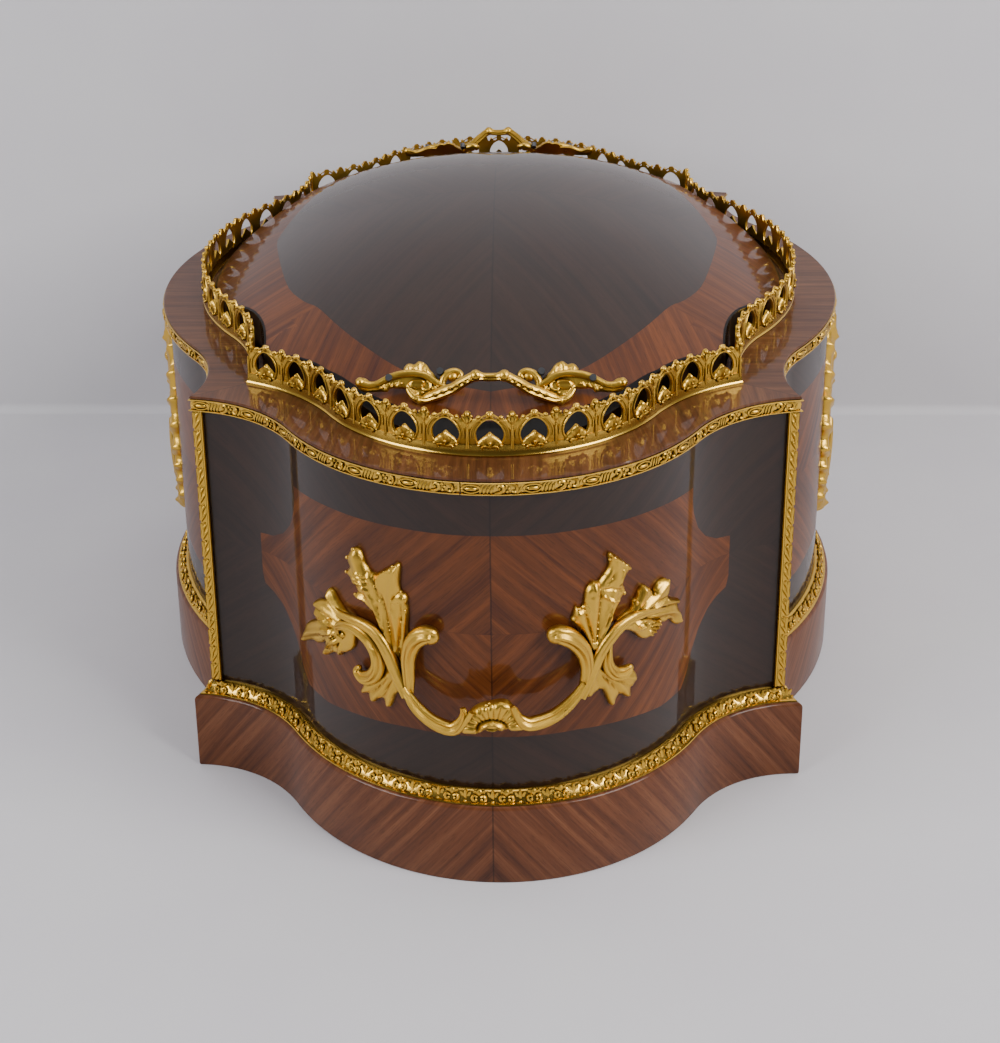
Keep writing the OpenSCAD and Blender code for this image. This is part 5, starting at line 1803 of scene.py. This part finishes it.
    def _bail(self, relief: Relief) -> None:
        """The bail, drawn as it is seen at 10 mm from the wall, and its shell.

        Args:
            relief: the casting.
        """
        relief.tube([(-28.4, 76.6, 6.2, 1.3), (-26.2, 74.6, 7.6, 1.7), (-23.4, 71.8, 8.8, 2.2),
            (-19.4, 68.8, 9.8, 2.4), (-15, 67, 10.6, 2.6), (-11.4, 67, 11.2, 2.5), (-9.2, 69.6, 11.6, 1.9),
            (-8, 73, 11.8, 1.3), (-8.4, 75.6, 11.6, 0.8)], sides=26, groove=0.34, steps=6)
        relief.tube([(29.6, 78.6, 6.2, 1.3), (26.8, 75.8, 7.6, 1.8), (23, 72.8, 8.8, 2.2),
            (18.6, 70.3, 9.8, 2.4), (14, 69.2, 10.6, 2.6), (10.6, 69.4, 11.2, 2.5), (8, 72, 11.6, 1.7),
            (6.6, 75.4, 11.9, 1.2), (6, 77, 12, 0.8)], sides=26, groove=0.34, steps=6)
        for line in ([(-13, 64.6, 10.6, 0.9), (-10.4, 66, 11.4, 1.2), (-8, 70, 12, 1.2),
                (-5.6, 74.6, 12.4, 0.9)], [(10, 68, 11.4, 1.0), (8.4, 71, 12, 1.3), (7.2, 74, 12.3, 1.1),
                (6.2, 76.8, 12.2, 0.8)]):
            relief.tube(line, sides=12)
        relief.sheet([(-9, 66), (-8.4, 70), (-6.6, 73.4), (-4.6, 75.6), (-2.4, 76.9), (0, 77.6),
            (2.6, 78.2), (4.8, 77.8), (6.4, 76), (7.4, 73), (8.6, 70), (9.8, 67.4), (7, 66.8), (4.6, 67.2),
            (3, 67.6), (0.4, 66.5), (-2.6, 67.2), (-4, 65.8),
            (-6.2, 65.4)], 2.2, 2.2, [*[Stroke([polar((0.4, 68.4), (4.2, 3.4), a), polar((0.4, 68.4),
            (8.2, 8.6), a)], -0.9, 0.34) for a in range(2, 168, 15)], Stroke([(-4.4, 66.6), (-3.8, 69.6),
            (-1.2, 71.6), (2, 71.6), (4.2, 69.8), (4.8, 67.6)], -1.6, 0.42), Stroke([(-3.2, 67.4),
            (-2.6, 69.4), (-0.6, 70.6), (1.6, 70.4), (3, 69), (2.6, 67.4)], 1.2, 0.6), Stroke([(-1.2, 68),
            (1.6, 67.9)], -1.8, 0.5)], edge=1.6, base=9.2, step=0.42)
        for s, z, r in ((-1.4, 77.4, 0.6), (-0.6, 78.2, 0.5), (-1.8, 69, 0.7), (2.6, 68.6, 0.7)):
            relief.ball(s, z, 12.2, r)

    def build(self) -> None:
        """Builds a casting for each end, in three pieces."""
        for side in (Side.FRONT, Side.BACK):
            place = self.shop.outline.wall_place(side, self.face, self.reach)
            for part, draw in (("left", self._left), ("right", self._right), ("bail", self._bail)):
                relief = Relief(place)
                draw(relief)
                obj = relief.build(f"end_handle_{part}_{side.label}", self.shop.palette.gilt, 42.0)
                nodes = [f"end_handle_{side.label}"] if part == "left" else []
                self.shop.fit(obj, "case", "gilt_brass", *nodes)


@dataclass
class SideMounts:
    """Tall foliate mounts on the long walls, seen from the edge in the photograph."""

    shop: Shop
    face: float = -2.5
    reach: float = 7.5

    def _draw(self, relief: Relief) -> None:
        """Draws one mount about its own middle line.

        Args:
            relief: the casting.
        """
        right = [(3.4, 50), (6, 55), (9.6, 59), (8.6, 63), (13, 67.6), (12.2, 72), (17, 76.6), (15.4, 81),
            (20.6, 87), (18, 92), (21.6, 98.6), (18.2, 103), (19.4, 110), (14.6, 113), (14, 120),
            (9.6, 123), (8.4, 130), (5, 133), (3.6, 139.4)]
        loop = [(0, 47.6), *right, (0, 142.4), *[(-u, v) for u, v in right[::-1]]]
        strokes = [Stroke([(0, 50), (0, 96), (0, 140)], 2.2, 2.2)]
        for way in (-1, 1):
            for root, tip in (((0.6, 52), (8.4, 59)), ((1, 58), (12, 68)), ((1, 66), (16, 77)), ((1, 76),
                    (19.4, 87)), ((1, 87), (20.4, 98)), ((1, 99), (18.4, 110)), ((1, 110), (13.4, 119.6)),
                    ((1, 121), (8, 130)), ((0.6, 130), (3.2, 138.6))):
                strokes.append(Stroke([(way * root[0], root[1]),
                    (way * tip[0] * 0.55, (root[1] + tip[1]) / 2 - 1), (way * tip[0], tip[1])], 1.3, 1.1))
                strokes.append(Stroke([(way * 1.6, root[1] + 4.5),
                    (way * tip[0] * 0.8, tip[1] + 3.4)], -1.1, 0.45))
        relief.sheet(loop, 2.7, 3.4, strokes, step=0.8)
        for way in (-1, 1):
            relief.tube([(way * 1, 58, 3.2, 1.3), (way * 6, 70, 3.6, 1.6), (way * 8.4, 84, 3.8, 1.8),
                (way * 4.6, 94, 4.0, 1.8), (way * 1.8, 89, 4.2, 1.3)], sides=14, groove=0.3)
        relief.ball(0, 122, 4.4, 2.6, 14, 0.8)
        relief.ball(0, 66, 3.6, 2.2, 12, 0.8)

    def build(self) -> None:
        """Builds a mount for each long wall."""
        for side in (Side.RIGHT, Side.LEFT):
            relief = Relief(self.shop.outline.wall_place(side, self.face, self.reach))
            self._draw(relief)
            obj = relief.build(f"side_mount_cast_{side.label}", self.shop.palette.gilt, 42.0)
            self.shop.fit(obj, "case", "gilt_brass", f"side_mount_{side.label}")


# Lid and handles


@dataclass
class Lid:
    """The domed lid: a dark shaped field in a lighter border, with a near-black strip of painted shade at
    each end behind the gallery.
    """

    shop: Shop
    offset: float = -22.0
    low: float = 151.0
    edge: float = 157.5
    dome: float = 38.0
    dome_over: float = 1.5
    fullness: float = 2.35
    profile: float = 2.2
    corner_cut: float = 3.5
    edge_strip: float = 8.0
    strip_least: float = 0.8
    strip_share: float = 0.7
    half_steps: int = 30
    cut_box: Point2 = (125, 170)
    grid_half: tuple[int, int] = (120, 165)
    grid_pitch: int = 6
    mitre_foot: Point2 = (71.0, 80.0)
    mitre_way: Point2 = (87.0, 105.0)
    field_deg: float = 62.0
    end_deg: float = 75.0
    side_deg: float = 20.0

    def _reach(self, side: Side) -> float:
        """How far the dome's foot reaches from the middle towards a side."""
        arcs = self.shop.outline.arcs(side)
        return arcs.bulge_v + arcs.bulge_r + self.offset + self.dome_over

    def height(self, x: float, y: float) -> float:
        """Height of the dome.

        Args:
            x: place along X.
            y: place along Y.
        Returns:
            The height over that place.
        """
        n = self.fullness
        r = ((abs(x) / self._reach(Side.RIGHT)) ** n + (abs(y) / self._reach(Side.FRONT)) ** n) ** (1 / n)
        return self.edge + self.dome * (1 - min(r, 1.0) ** self.profile)

    def normal(self, x: float, y: float) -> Point3:
        """Outward normal of the dome.

        Args:
            x: place along X.
            y: place along Y.
        Returns:
            The unit normal.
        """
        e = 0.2
        dx = (self.height(x + e, y) - self.height(x - e, y)) / (2 * e)
        dy = (self.height(x, y + e) - self.height(x, y - e)) / (2 * e)
        return tuple(Vector((-dx, -dy, 1.0)).normalized())

    def outline_points(self, inset: float = 0.0) -> list[Point2]:
        """The lid's edge, or the inner line of its strip of painted shade.

        Args:
            inset: breadth of the strip at the middle of each end, or 0 for the edge.
        Returns:
            Points round the lid, with the corners cut.
        """
        points = []
        for side in Side:
            ends = [self.shop.outline.at_share(side, self.offset, f) for f in (-1, 1)]
            for i in range(-self.half_steps, self.half_steps + 1):
                f = i / self.half_steps
                taper = max(1 - (f / self.strip_share) ** 2, 0.0) if side.is_end else 0.0
                deep = inset * taper + self.strip_least if inset else 0.0
                p = self.shop.outline.at_share(side, self.offset - deep, f)
                if min(math.dist((p.x, p.y), (q.x, q.y)) for q in ends) > self.corner_cut:
                    points.append((p.x, p.y))
        return points

    def field(self) -> list[Point2]:
        """The dark field's outline: a cusp towards each corner of the lid.

        Returns:
            Points round the field.
        """
        quarter = smooth_line([(0, -141), (-20, -136), (-34, -127), (-47, -113), (-57, -99), (-65.5, -84.5),
                               (-71.5, -77), (-79, -62), (-85, -38), (-90, -12), (-91.5, 0)], 3)
        lower = quarter[::-1] + [(-x, y) for x, y in quarter[1:]]
        return lower + [(x, -y) for x, y in lower[1:-1]][::-1]

    def _cuts(self) -> list[tuple[Point2, Point2]]:
        """The lines that cut the lid's veneer: joints, mitres and a grid that lets it bend.

        Returns:
            Pairs of ends.
        """
        (bx, by), (gx, gy) = self.cut_box, self.grid_half
        far = self.shop.outline.corner(self.offset)
        cuts = [((d, -by), (d, by)) for d in JOINT_CUTS] + [((-bx, d), (bx, d)) for d in JOINT_CUTS]
        cuts += [((self.mitre_foot[0] * sx, self.mitre_foot[1] * sy), ((far[0] + 2) * sx, (far[1] + 2) * sy))
                 for sx in (-1, 1) for sy in (-1, 1)]
        cuts += [((x, -by), (x, by)) for x in range(-gx, gx + 1, self.grid_pitch) if x]
        return cuts + [((-bx, y), (bx, y)) for y in range(-gy, gy + 1, self.grid_pitch) if y]

    def build(self) -> None:
        """Builds the lid's veneered top and its plain edge."""
        palette = self.shop.palette
        outer, strip = self.outline_points(), self.outline_points(self.edge_strip)
        sheet = CutSheet(outer, self.field(), strip)
        builder = MeshBuilder()
        for tri, dark in sheet.triangles(self._cuts()):
            mx, my = middle(tri)
            end = not dark and abs(my) / self.mitre_way[1] > abs(mx) / self.mitre_way[0]
            leaf = (dark, mx > 0, my > 0, end)
            # Slot 2, between the strip's line and the edge, is the near-black painted shade behind the
            # gallery
            slot = 0 if dark else 1 if inside((mx, my), strip) else 2
            builder.lay(tri, leaf, lambda x, y: self._vertex(builder, x, y, *leaf), slot)
        obj = builder.build("lid_veneer", [palette.kingwood, palette.tulipwood, palette.ebony])
        self.shop.fit(obj, "lid", "kingwood", "lid")
        self._edge(outer)

    def _vertex(self, builder: MeshBuilder, x: float, y: float, dark: bool, right: bool, back: bool,
                end: bool) -> int:
        """Adds one veneer vertex; each leaf has its own piece of wood.

        Args:
            builder: the veneer.
            x: place along X.
            y: place along Y.
            dark: whether it lies in the field.
            right: whether its leaf is a right one.
            back: whether its leaf is a back one.
            end: whether its leaf is a border at an end.
        Returns:
            Its index.
        """
        u, v = abs(x), abs(y)
        drift = 3.0 * right + 1.5 * back
        if dark:
            grain, seam = turned(u, v, self.field_deg, drift + 200.0), min(u, v)
        else:
            grain = turned(u, v, self.end_deg if end else self.side_deg, drift + 6.0 * end + 300.0)
            seam = u if end else v
        return builder.vertex((x, y, self.height(x, y)), grain, seam, self.normal(x, y))

    def _edge(self, outer: Sequence[Point2]) -> None:
        """Builds the lid's upright edge and its underside.

        Args:
            outer: points round the lid.
        """
        builder = MeshBuilder()
        rows = [[builder.vertex((x, y, z)) for x, y in outer] for z in (self.low, self.low + 1.0)]
        top = [builder.vertex((x, y, self.height(x, y) - 0.02)) for x, y in outer]
        builder.grid([*rows, top], wrap=True)
        under = builder.vertex((0.0, 0.0, self.low))
        crown = builder.vertex((0.0, 0.0, self.low + 3.0))
        n = len(outer)
        for i in range(n):
            builder.face((rows[0][(i + 1) % n], rows[0][i], under))
            builder.face((top[i], top[(i + 1) % n], crown))
        obj = builder.build("lid_edge", [self.shop.palette.kingwood])
        self.shop.fit(obj, "lid", "kingwood")


@dataclass
class LidHandles:
    """Cast handles on the lid: a slim bow between two groups of scrolls and leaves."""

    shop: Shop
    y: float = 145.0
    z: float = 165.6
    bow_deg: float = 24.8
    leaf_deg: float = -38.0
    head_r: float = 1.2
    head_height: float = 2.4
    slot_half: Point2 = (1.0, 0.2)

    def _bow(self, relief: Relief) -> None:
        """Draws the bow with its two ridges and knots.

        Args:
            relief: the casting.
        """
        rows = [(0, 13.3, 0, 1.5), (2.5, 13.5, 0, 1.5), (4.6, 14.0, 0, 1.9), (6.6, 12.9, 0, 1.8),
                (9.8, 10.3, 0, 1.9), (12.7, 7.6, 0, 2.0), (16, 5.7, 0, 2.1), (19.5, 3.7, 0, 1.9),
                (22, 2.5, 0, 1.6), (24, 2.1, 0, 0.6)]
        relief.tube([(-u, v, h, r) for u, v, h, r in rows[:0:-1]] + rows, sides=18, groove=0.25)
        for way in (-1, 1):
            relief.ball(way * 4.8, 14.1, 0, 2.1, 14)
            relief.ball(way * 6.6, 13.6, 1.2, 0.9)
            for i in range(5):
                relief.ball(way * (8.6 + 2.6 * i), 12.2 - 1.6 * i, 1.5, 0.8, 8, 0.8)

    def _leaves(self, relief: Relief) -> None:
        """Both groups of leaves in their own leaning plane.

        Args:
            relief: the casting.
        """
        for w in (-1, 1):
            def at(points: Sequence[Sequence[float]], w: int = w) -> list[tuple[float, ...]]:
                """Puts drawn points on the group's side of the middle."""
                return [(w * p[0], *p[1:]) for p in points]

            relief.sheet(at([(46.2, 7.4), (44.9, 8.8), (43.2, 8.8), (41.4, 7.6), (39.6, 7.6), (37.4, 8.8),
                (35.4, 10.3), (32.4, 10.9), (30.4, 10.8), (29.9, 12.6), (28.2, 14), (26.2, 13.8),
                (24.6, 14.8), (22.4, 13.9), (20.8, 11.8), (19, 9.9), (17, 7.8), (15.6, 5.6), (19, 1.6),
                (22.4, -0.4), (25.4, 1), (27.6, 2.6), (28.6, 4.8), (31.4, 5.2), (34.4, 5.2), (35.6, 4),
                (37.4, 4.2), (40, 4), (43.4, 4), (45.6, 5.2)]), 1.1, 1.6, [Stroke(at([(22, 9.6),
                (21.6, 12.8)]), 0.6, 0.8), Stroke(at([(25, 10.6), (24.8, 14)]), 0.6, 0.9),
                Stroke(at([(28, 10.8), (28.6, 13.2)]), 0.6, 0.8), Stroke(at([(23.4, 10.4),
                (23.2, 13.6)]), -0.7, 0.3), Stroke(at([(26.6, 10.8), (26.8, 13.6)]), -0.7, 0.3),
                Stroke(at([(34, 6.6), (35.2, 4.4)]), -0.6, 0.3), Stroke(at([(36, 6.8),
                (37.2, 4.4)]), -0.6, 0.3), Stroke(at([(32, 7), (33, 5.4)]), -0.6, 0.3),
                Stroke(at([(20.4, 7.6), (19.4, 4.6), (22.4, 1.4)]), -0.8, 0.5), Stroke(at([(25.4, 3),
                (28, 5.4)]), 0.6, 0.5)], edge=0.6, base=-0.9, step=0.45)
            relief.tube(at([(45.2, 7, 0.1, 1.7), (42.4, 6.2, 0.2, 1.4), (39.4, 6.4, 0.4, 1.2),
                (36, 8, 0.7, 1.3), (32, 9.6, 1.0, 1.3), (27, 10.2, 1.1, 1.3), (22.4, 9.4, 1.0, 1.3),
                (18.6, 7, 0.7, 1.3), (15.8, 5.6, 0.3, 1.2)]), sides=14, steps=5, channel=0.15)
            relief.ball(w * 44.9, 7.2, 0.2, 1.8, 12, 0.9)
            # Curl beside the bow
            relief.tube(at([(16.6, 5.6, 0.2, 1.2), (16.3, 8, 0.4, 1.4), (14.6, 10.2, 0.4, 1.5),
                (12, 11, 0.4, 1.3), (10.2, 9.8, 0.4, 1.1), (11.2, 8.4, 0.4, 0.9)]), sides=12, steps=5)
            relief.ball(w * 13.2, 9.4, 0.2, 2.0, 12, 0.7)
            # Oval leaf with its eye, and the foot
            relief.sheet(at([(22.4, 8), (26, 8.4), (28.4, 7), (27.8, 5), (25, 4.4),
                (22.8, 5.2)]), 1.1, 1.4, [Stroke(at([(22.8, 7), (26.8, 7.2)]), 0.5, 0.5)], edge=0.4,
                base=0.2, step=0.4)
            relief.tube(at([(21.8, 7.6, 0.9, 0.5), (20.6, 6.4, 0.9, 0.5), (21, 4.8, 0.9, 0.5),
                (22.4, 4.2, 0.9, 0.5), (23.4, 5.2, 0.9, 0.4)]), sides=8, steps=4)
            relief.tube(at([(15.4, 4.2, 0.2, 1.3), (19, 2.2, 0.3, 1.4), (23.4, 0.9, 0.3, 1.5),
                (26.6, 2.4, 0.3, 1.3), (28.4, 5, 0.3, 0.9)]), sides=12, steps=5, channel=0.2)
            relief.ball(w * 23.7, 0.9, 0, 1.9, 12)
            for u, v, r in ((23.2, 3.4, 0.6), (25.4, 2.6, 0.5), (19.6, 4.6, 0.6), (18.2, 5.6, 0.5),
                    (37.6, 5, 0.6), (33.8, 5.6, 0.5), (30.6, 6.6, 0.5), (16.8, 2.6, 0.6), (21.4, 2.6, 0.5)):
                relief.ball(w * u, v, 1.2, r)

    def _heads(self, relief: Relief) -> None:
        """Draws the slotted screw heads.

        Args:
            relief: the screws.
        """
        a, b = self.slot_half
        for u, v, h in ((-17.4, 11.0, 1.6), (17.4, 11.0, 1.6), (-34.9, 8.4, 2.7), (34.9, 8.4, 2.7)):
            ring = [(u + self.head_r * math.cos(t), v + self.head_r * math.sin(t)) for t in circle(20)]
            relief.plate(ring, h - self.head_height, h)
            relief.plate([(u - a, v - b), (u + a, v - b), (u + a, v + b), (u - a, v + b)], h - 0.3, h + 0.05)

    def _leaning(self, deg: float, way: int) -> Place:
        """How a drawing leans over the lid.

        Args:
            deg: lean outwards.
            way: -1 for the front handle and 1 for the back one.
        Returns:
            A function of place along the handle, height and distance outwards.
        """
        lean = math.radians(deg)

        def place(u: float, v: float, h: float) -> Point3:
            """Puts a drawn point over the lid."""
            return (-way * u, way * (self.y + v * math.sin(lean) + h * math.cos(lean)),
                    self.z + v * math.cos(lean) - h * math.sin(lean))

        return place

    def build(self) -> None:
        """Builds both handles and their screw heads."""
        palette = self.shop.palette
        for label, way in (("front", -1), ("back", 1)):
            relief = Relief(self._leaning(self.bow_deg, way))
            self._bow(relief)
            relief.place = self._leaning(self.leaf_deg, way)
            self._leaves(relief)
            self.shop.fit(relief.build(f"lid_handle_cast_{label}", palette.gilt, 42.0), "lid", "gilt_brass",
                          f"lid_handle_{label}")
            heads = Relief(self._leaning(self.leaf_deg, way))
            self._heads(heads)
            self.shop.fit(heads.build(f"lid_handle_screw_heads_{label}", palette.steel, 30.0), "lid", "steel",
                          *(["lid_handle_screws"] if way < 0 else []))


@dataclass
class PlainNodes:
    """CAD nodes that are shown as they are, with their finish."""

    shop: Shop

    def build(self) -> None:
        """Gives each shown CAD node its material."""
        oak, steel = self.shop.palette.oak, self.shop.palette.steel
        finishes = {"bottom_board": oak, "glue_blocks": oak, "ledge_strips": oak, "lid_cleats": oak,
                    "liner": self.shop.palette.zinc, "end_handle_screws": steel, "side_mount_screws": steel}
        for name, material in finishes.items():
            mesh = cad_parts[name].data
            mesh.materials.clear()
            mesh.materials.append(material)


# Studio


@dataclass
class Studio:
    """The pale floor and backdrop, the soft light and the camera.

    The camera's focal length and centre are in the photograph's own pixels.
    """

    wall_y: float = 205.5
    bend_r: float = 5.0
    front_y: float = -1500.0
    top_z: float = 1800.0
    half_x: float = 2500.0
    bend_steps: int = 12
    photo: tuple[int, int] = (1000, 1043)
    centre: Point2 = (394.23, 269.37)
    focal: float = 1752.49
    eye: Point3 = (9.92, -691.57, 415.67)
    pitch: float = 0.3519
    yaw: float = -0.0758
    roll: float = -0.0308

    def build(self) -> None:
        """Builds the stage."""
        self._backdrop()
        self._lights()
        self._room()
        self._camera()

    def _backdrop(self) -> None:
        """Builds the paper floor that bends up into a wall."""
        start, r, n = self.wall_y - self.bend_r, self.bend_r, self.bend_steps
        line = [(self.front_y, 0.0), (start, 0.0)]
        for i in range(1, n + 1):
            a = math.pi / 2 * i / n
            line.append((start + r * math.sin(a), r * (1 - math.cos(a))))
        line.append((line[-1][0], self.top_z))
        builder = MeshBuilder()
        rows = []
        for i, (y, z) in enumerate(line):
            a = min(max(i - 1, 0), n) * math.pi / (2 * n)
            normal = (0.0, -math.sin(a), math.cos(a))
            rows.append([builder.vertex((x, y, z), normal=normal) for x in (-self.half_x, self.half_x)])
        builder.grid(rows)
        paper = Plain("paper_backdrop", "#c3c0c5", "#c6c4c7", 60.0, 0.8, one_sided=True)
        builder.build("backdrop", [paper.material()])

    def _lights(self) -> None:
        """Builds the soft lamps, each turned to the middle of the box."""
        lamps = (("window", (1.0, -0.7, 0.9), (0.8, 0.7), 24.5, (1.0, 0.985, 0.96)),
                 ("fill", (-1.1, -0.8, 0.85), (0.8, 0.8), 19.0, (0.97, 0.98, 1.0)),
                 ("top", (0.1, 0.0, 1.5), (0.9, 0.7), 6.0, (1.0, 1.0, 1.0)))
        target = Vector((0, 0, 0.08))
        for name, place, size, power, colour in lamps:
            data = bpy.data.lights.new(name, "AREA")
            data.shape = "RECTANGLE"
            data.size, data.size_y = size
            data.energy = power
            data.color = colour
            lamp = bpy.data.objects.new(name, data)
            lamp.location = place
            lamp.rotation_euler = (target - Vector(place)).to_track_quat("-Z", "Y").to_euler()
            bpy.context.scene.collection.objects.link(lamp)

    def _room(self) -> None:
        """Builds the room's light, dim in front of the box and stronger above and behind it."""
        world = bpy.data.worlds.new("studio")
        bpy.context.scene.world = world
        world.use_nodes = True
        tree = world.node_tree
        back = tree.nodes["Background"]
        back.inputs[0].default_value = (0.86, 0.87, 0.9, 1.0)
        coords = add_node(tree, "ShaderNodeTexCoord").outputs["Generated"]
        along = add_node(tree, "ShaderNodeSeparateXYZ", {0: coords}).outputs["Y"]
        tree.links.new(rescale(tree, along, (-0.8, 0.2), (0.1, 0.42)), back.inputs[1])

    def _camera(self) -> None:
        """Builds the camera where the photograph was taken from."""
        data = bpy.data.cameras.new("camera")
        width, height = self.photo
        data.sensor_width = 36.0
        data.lens = self.focal / height * data.sensor_width
        data.shift_x = (width / 2 - self.centre[0]) / height
        data.shift_y = -(height / 2 - self.centre[1]) / height
        data.clip_start = 0.01
        camera = bpy.data.objects.new("camera", data)
        bpy.context.scene.collection.objects.link(camera)
        level = math.cos(self.pitch)
        forward = Vector((math.sin(self.yaw) * level, math.cos(self.yaw) * level, -math.sin(self.pitch)))
        right = Vector((math.cos(self.yaw), -math.sin(self.yaw), 0.0))
        up = right.cross(forward)
        across = right * math.cos(self.roll) + up * math.sin(self.roll)
        above = up * math.cos(self.roll) - right * math.sin(self.roll)
        matrix = camera.matrix_world.copy()
        for row in range(3):
            matrix[row][0], matrix[row][1], matrix[row][2] = across[row], above[row], -forward[row]
        matrix.translation = Vector(self.eye) * MM
        camera.matrix_world = matrix
        bpy.context.scene.camera = camera


def main() -> None:
    """Builds the whole scene in order."""
    logging.basicConfig(level=logging.INFO, format="%(name)s: %(message)s")
    shop = Shop(Outline(), Palette.make(), PathRepeater())
    parts = (Plinth(shop), Walls(shop), Rim(shop), FootMoulding(shop), Band(shop), CornerStrips(shop),
             Gallery(shop), EndHandles(shop), SideMounts(shop), Lid(shop), LidHandles(shop), PlainNodes(shop))
    for part in parts:
        LOG.info("building %s", type(part).__name__)
        part.build()
    Studio().build()


if __name__ == "__main__":
    main()
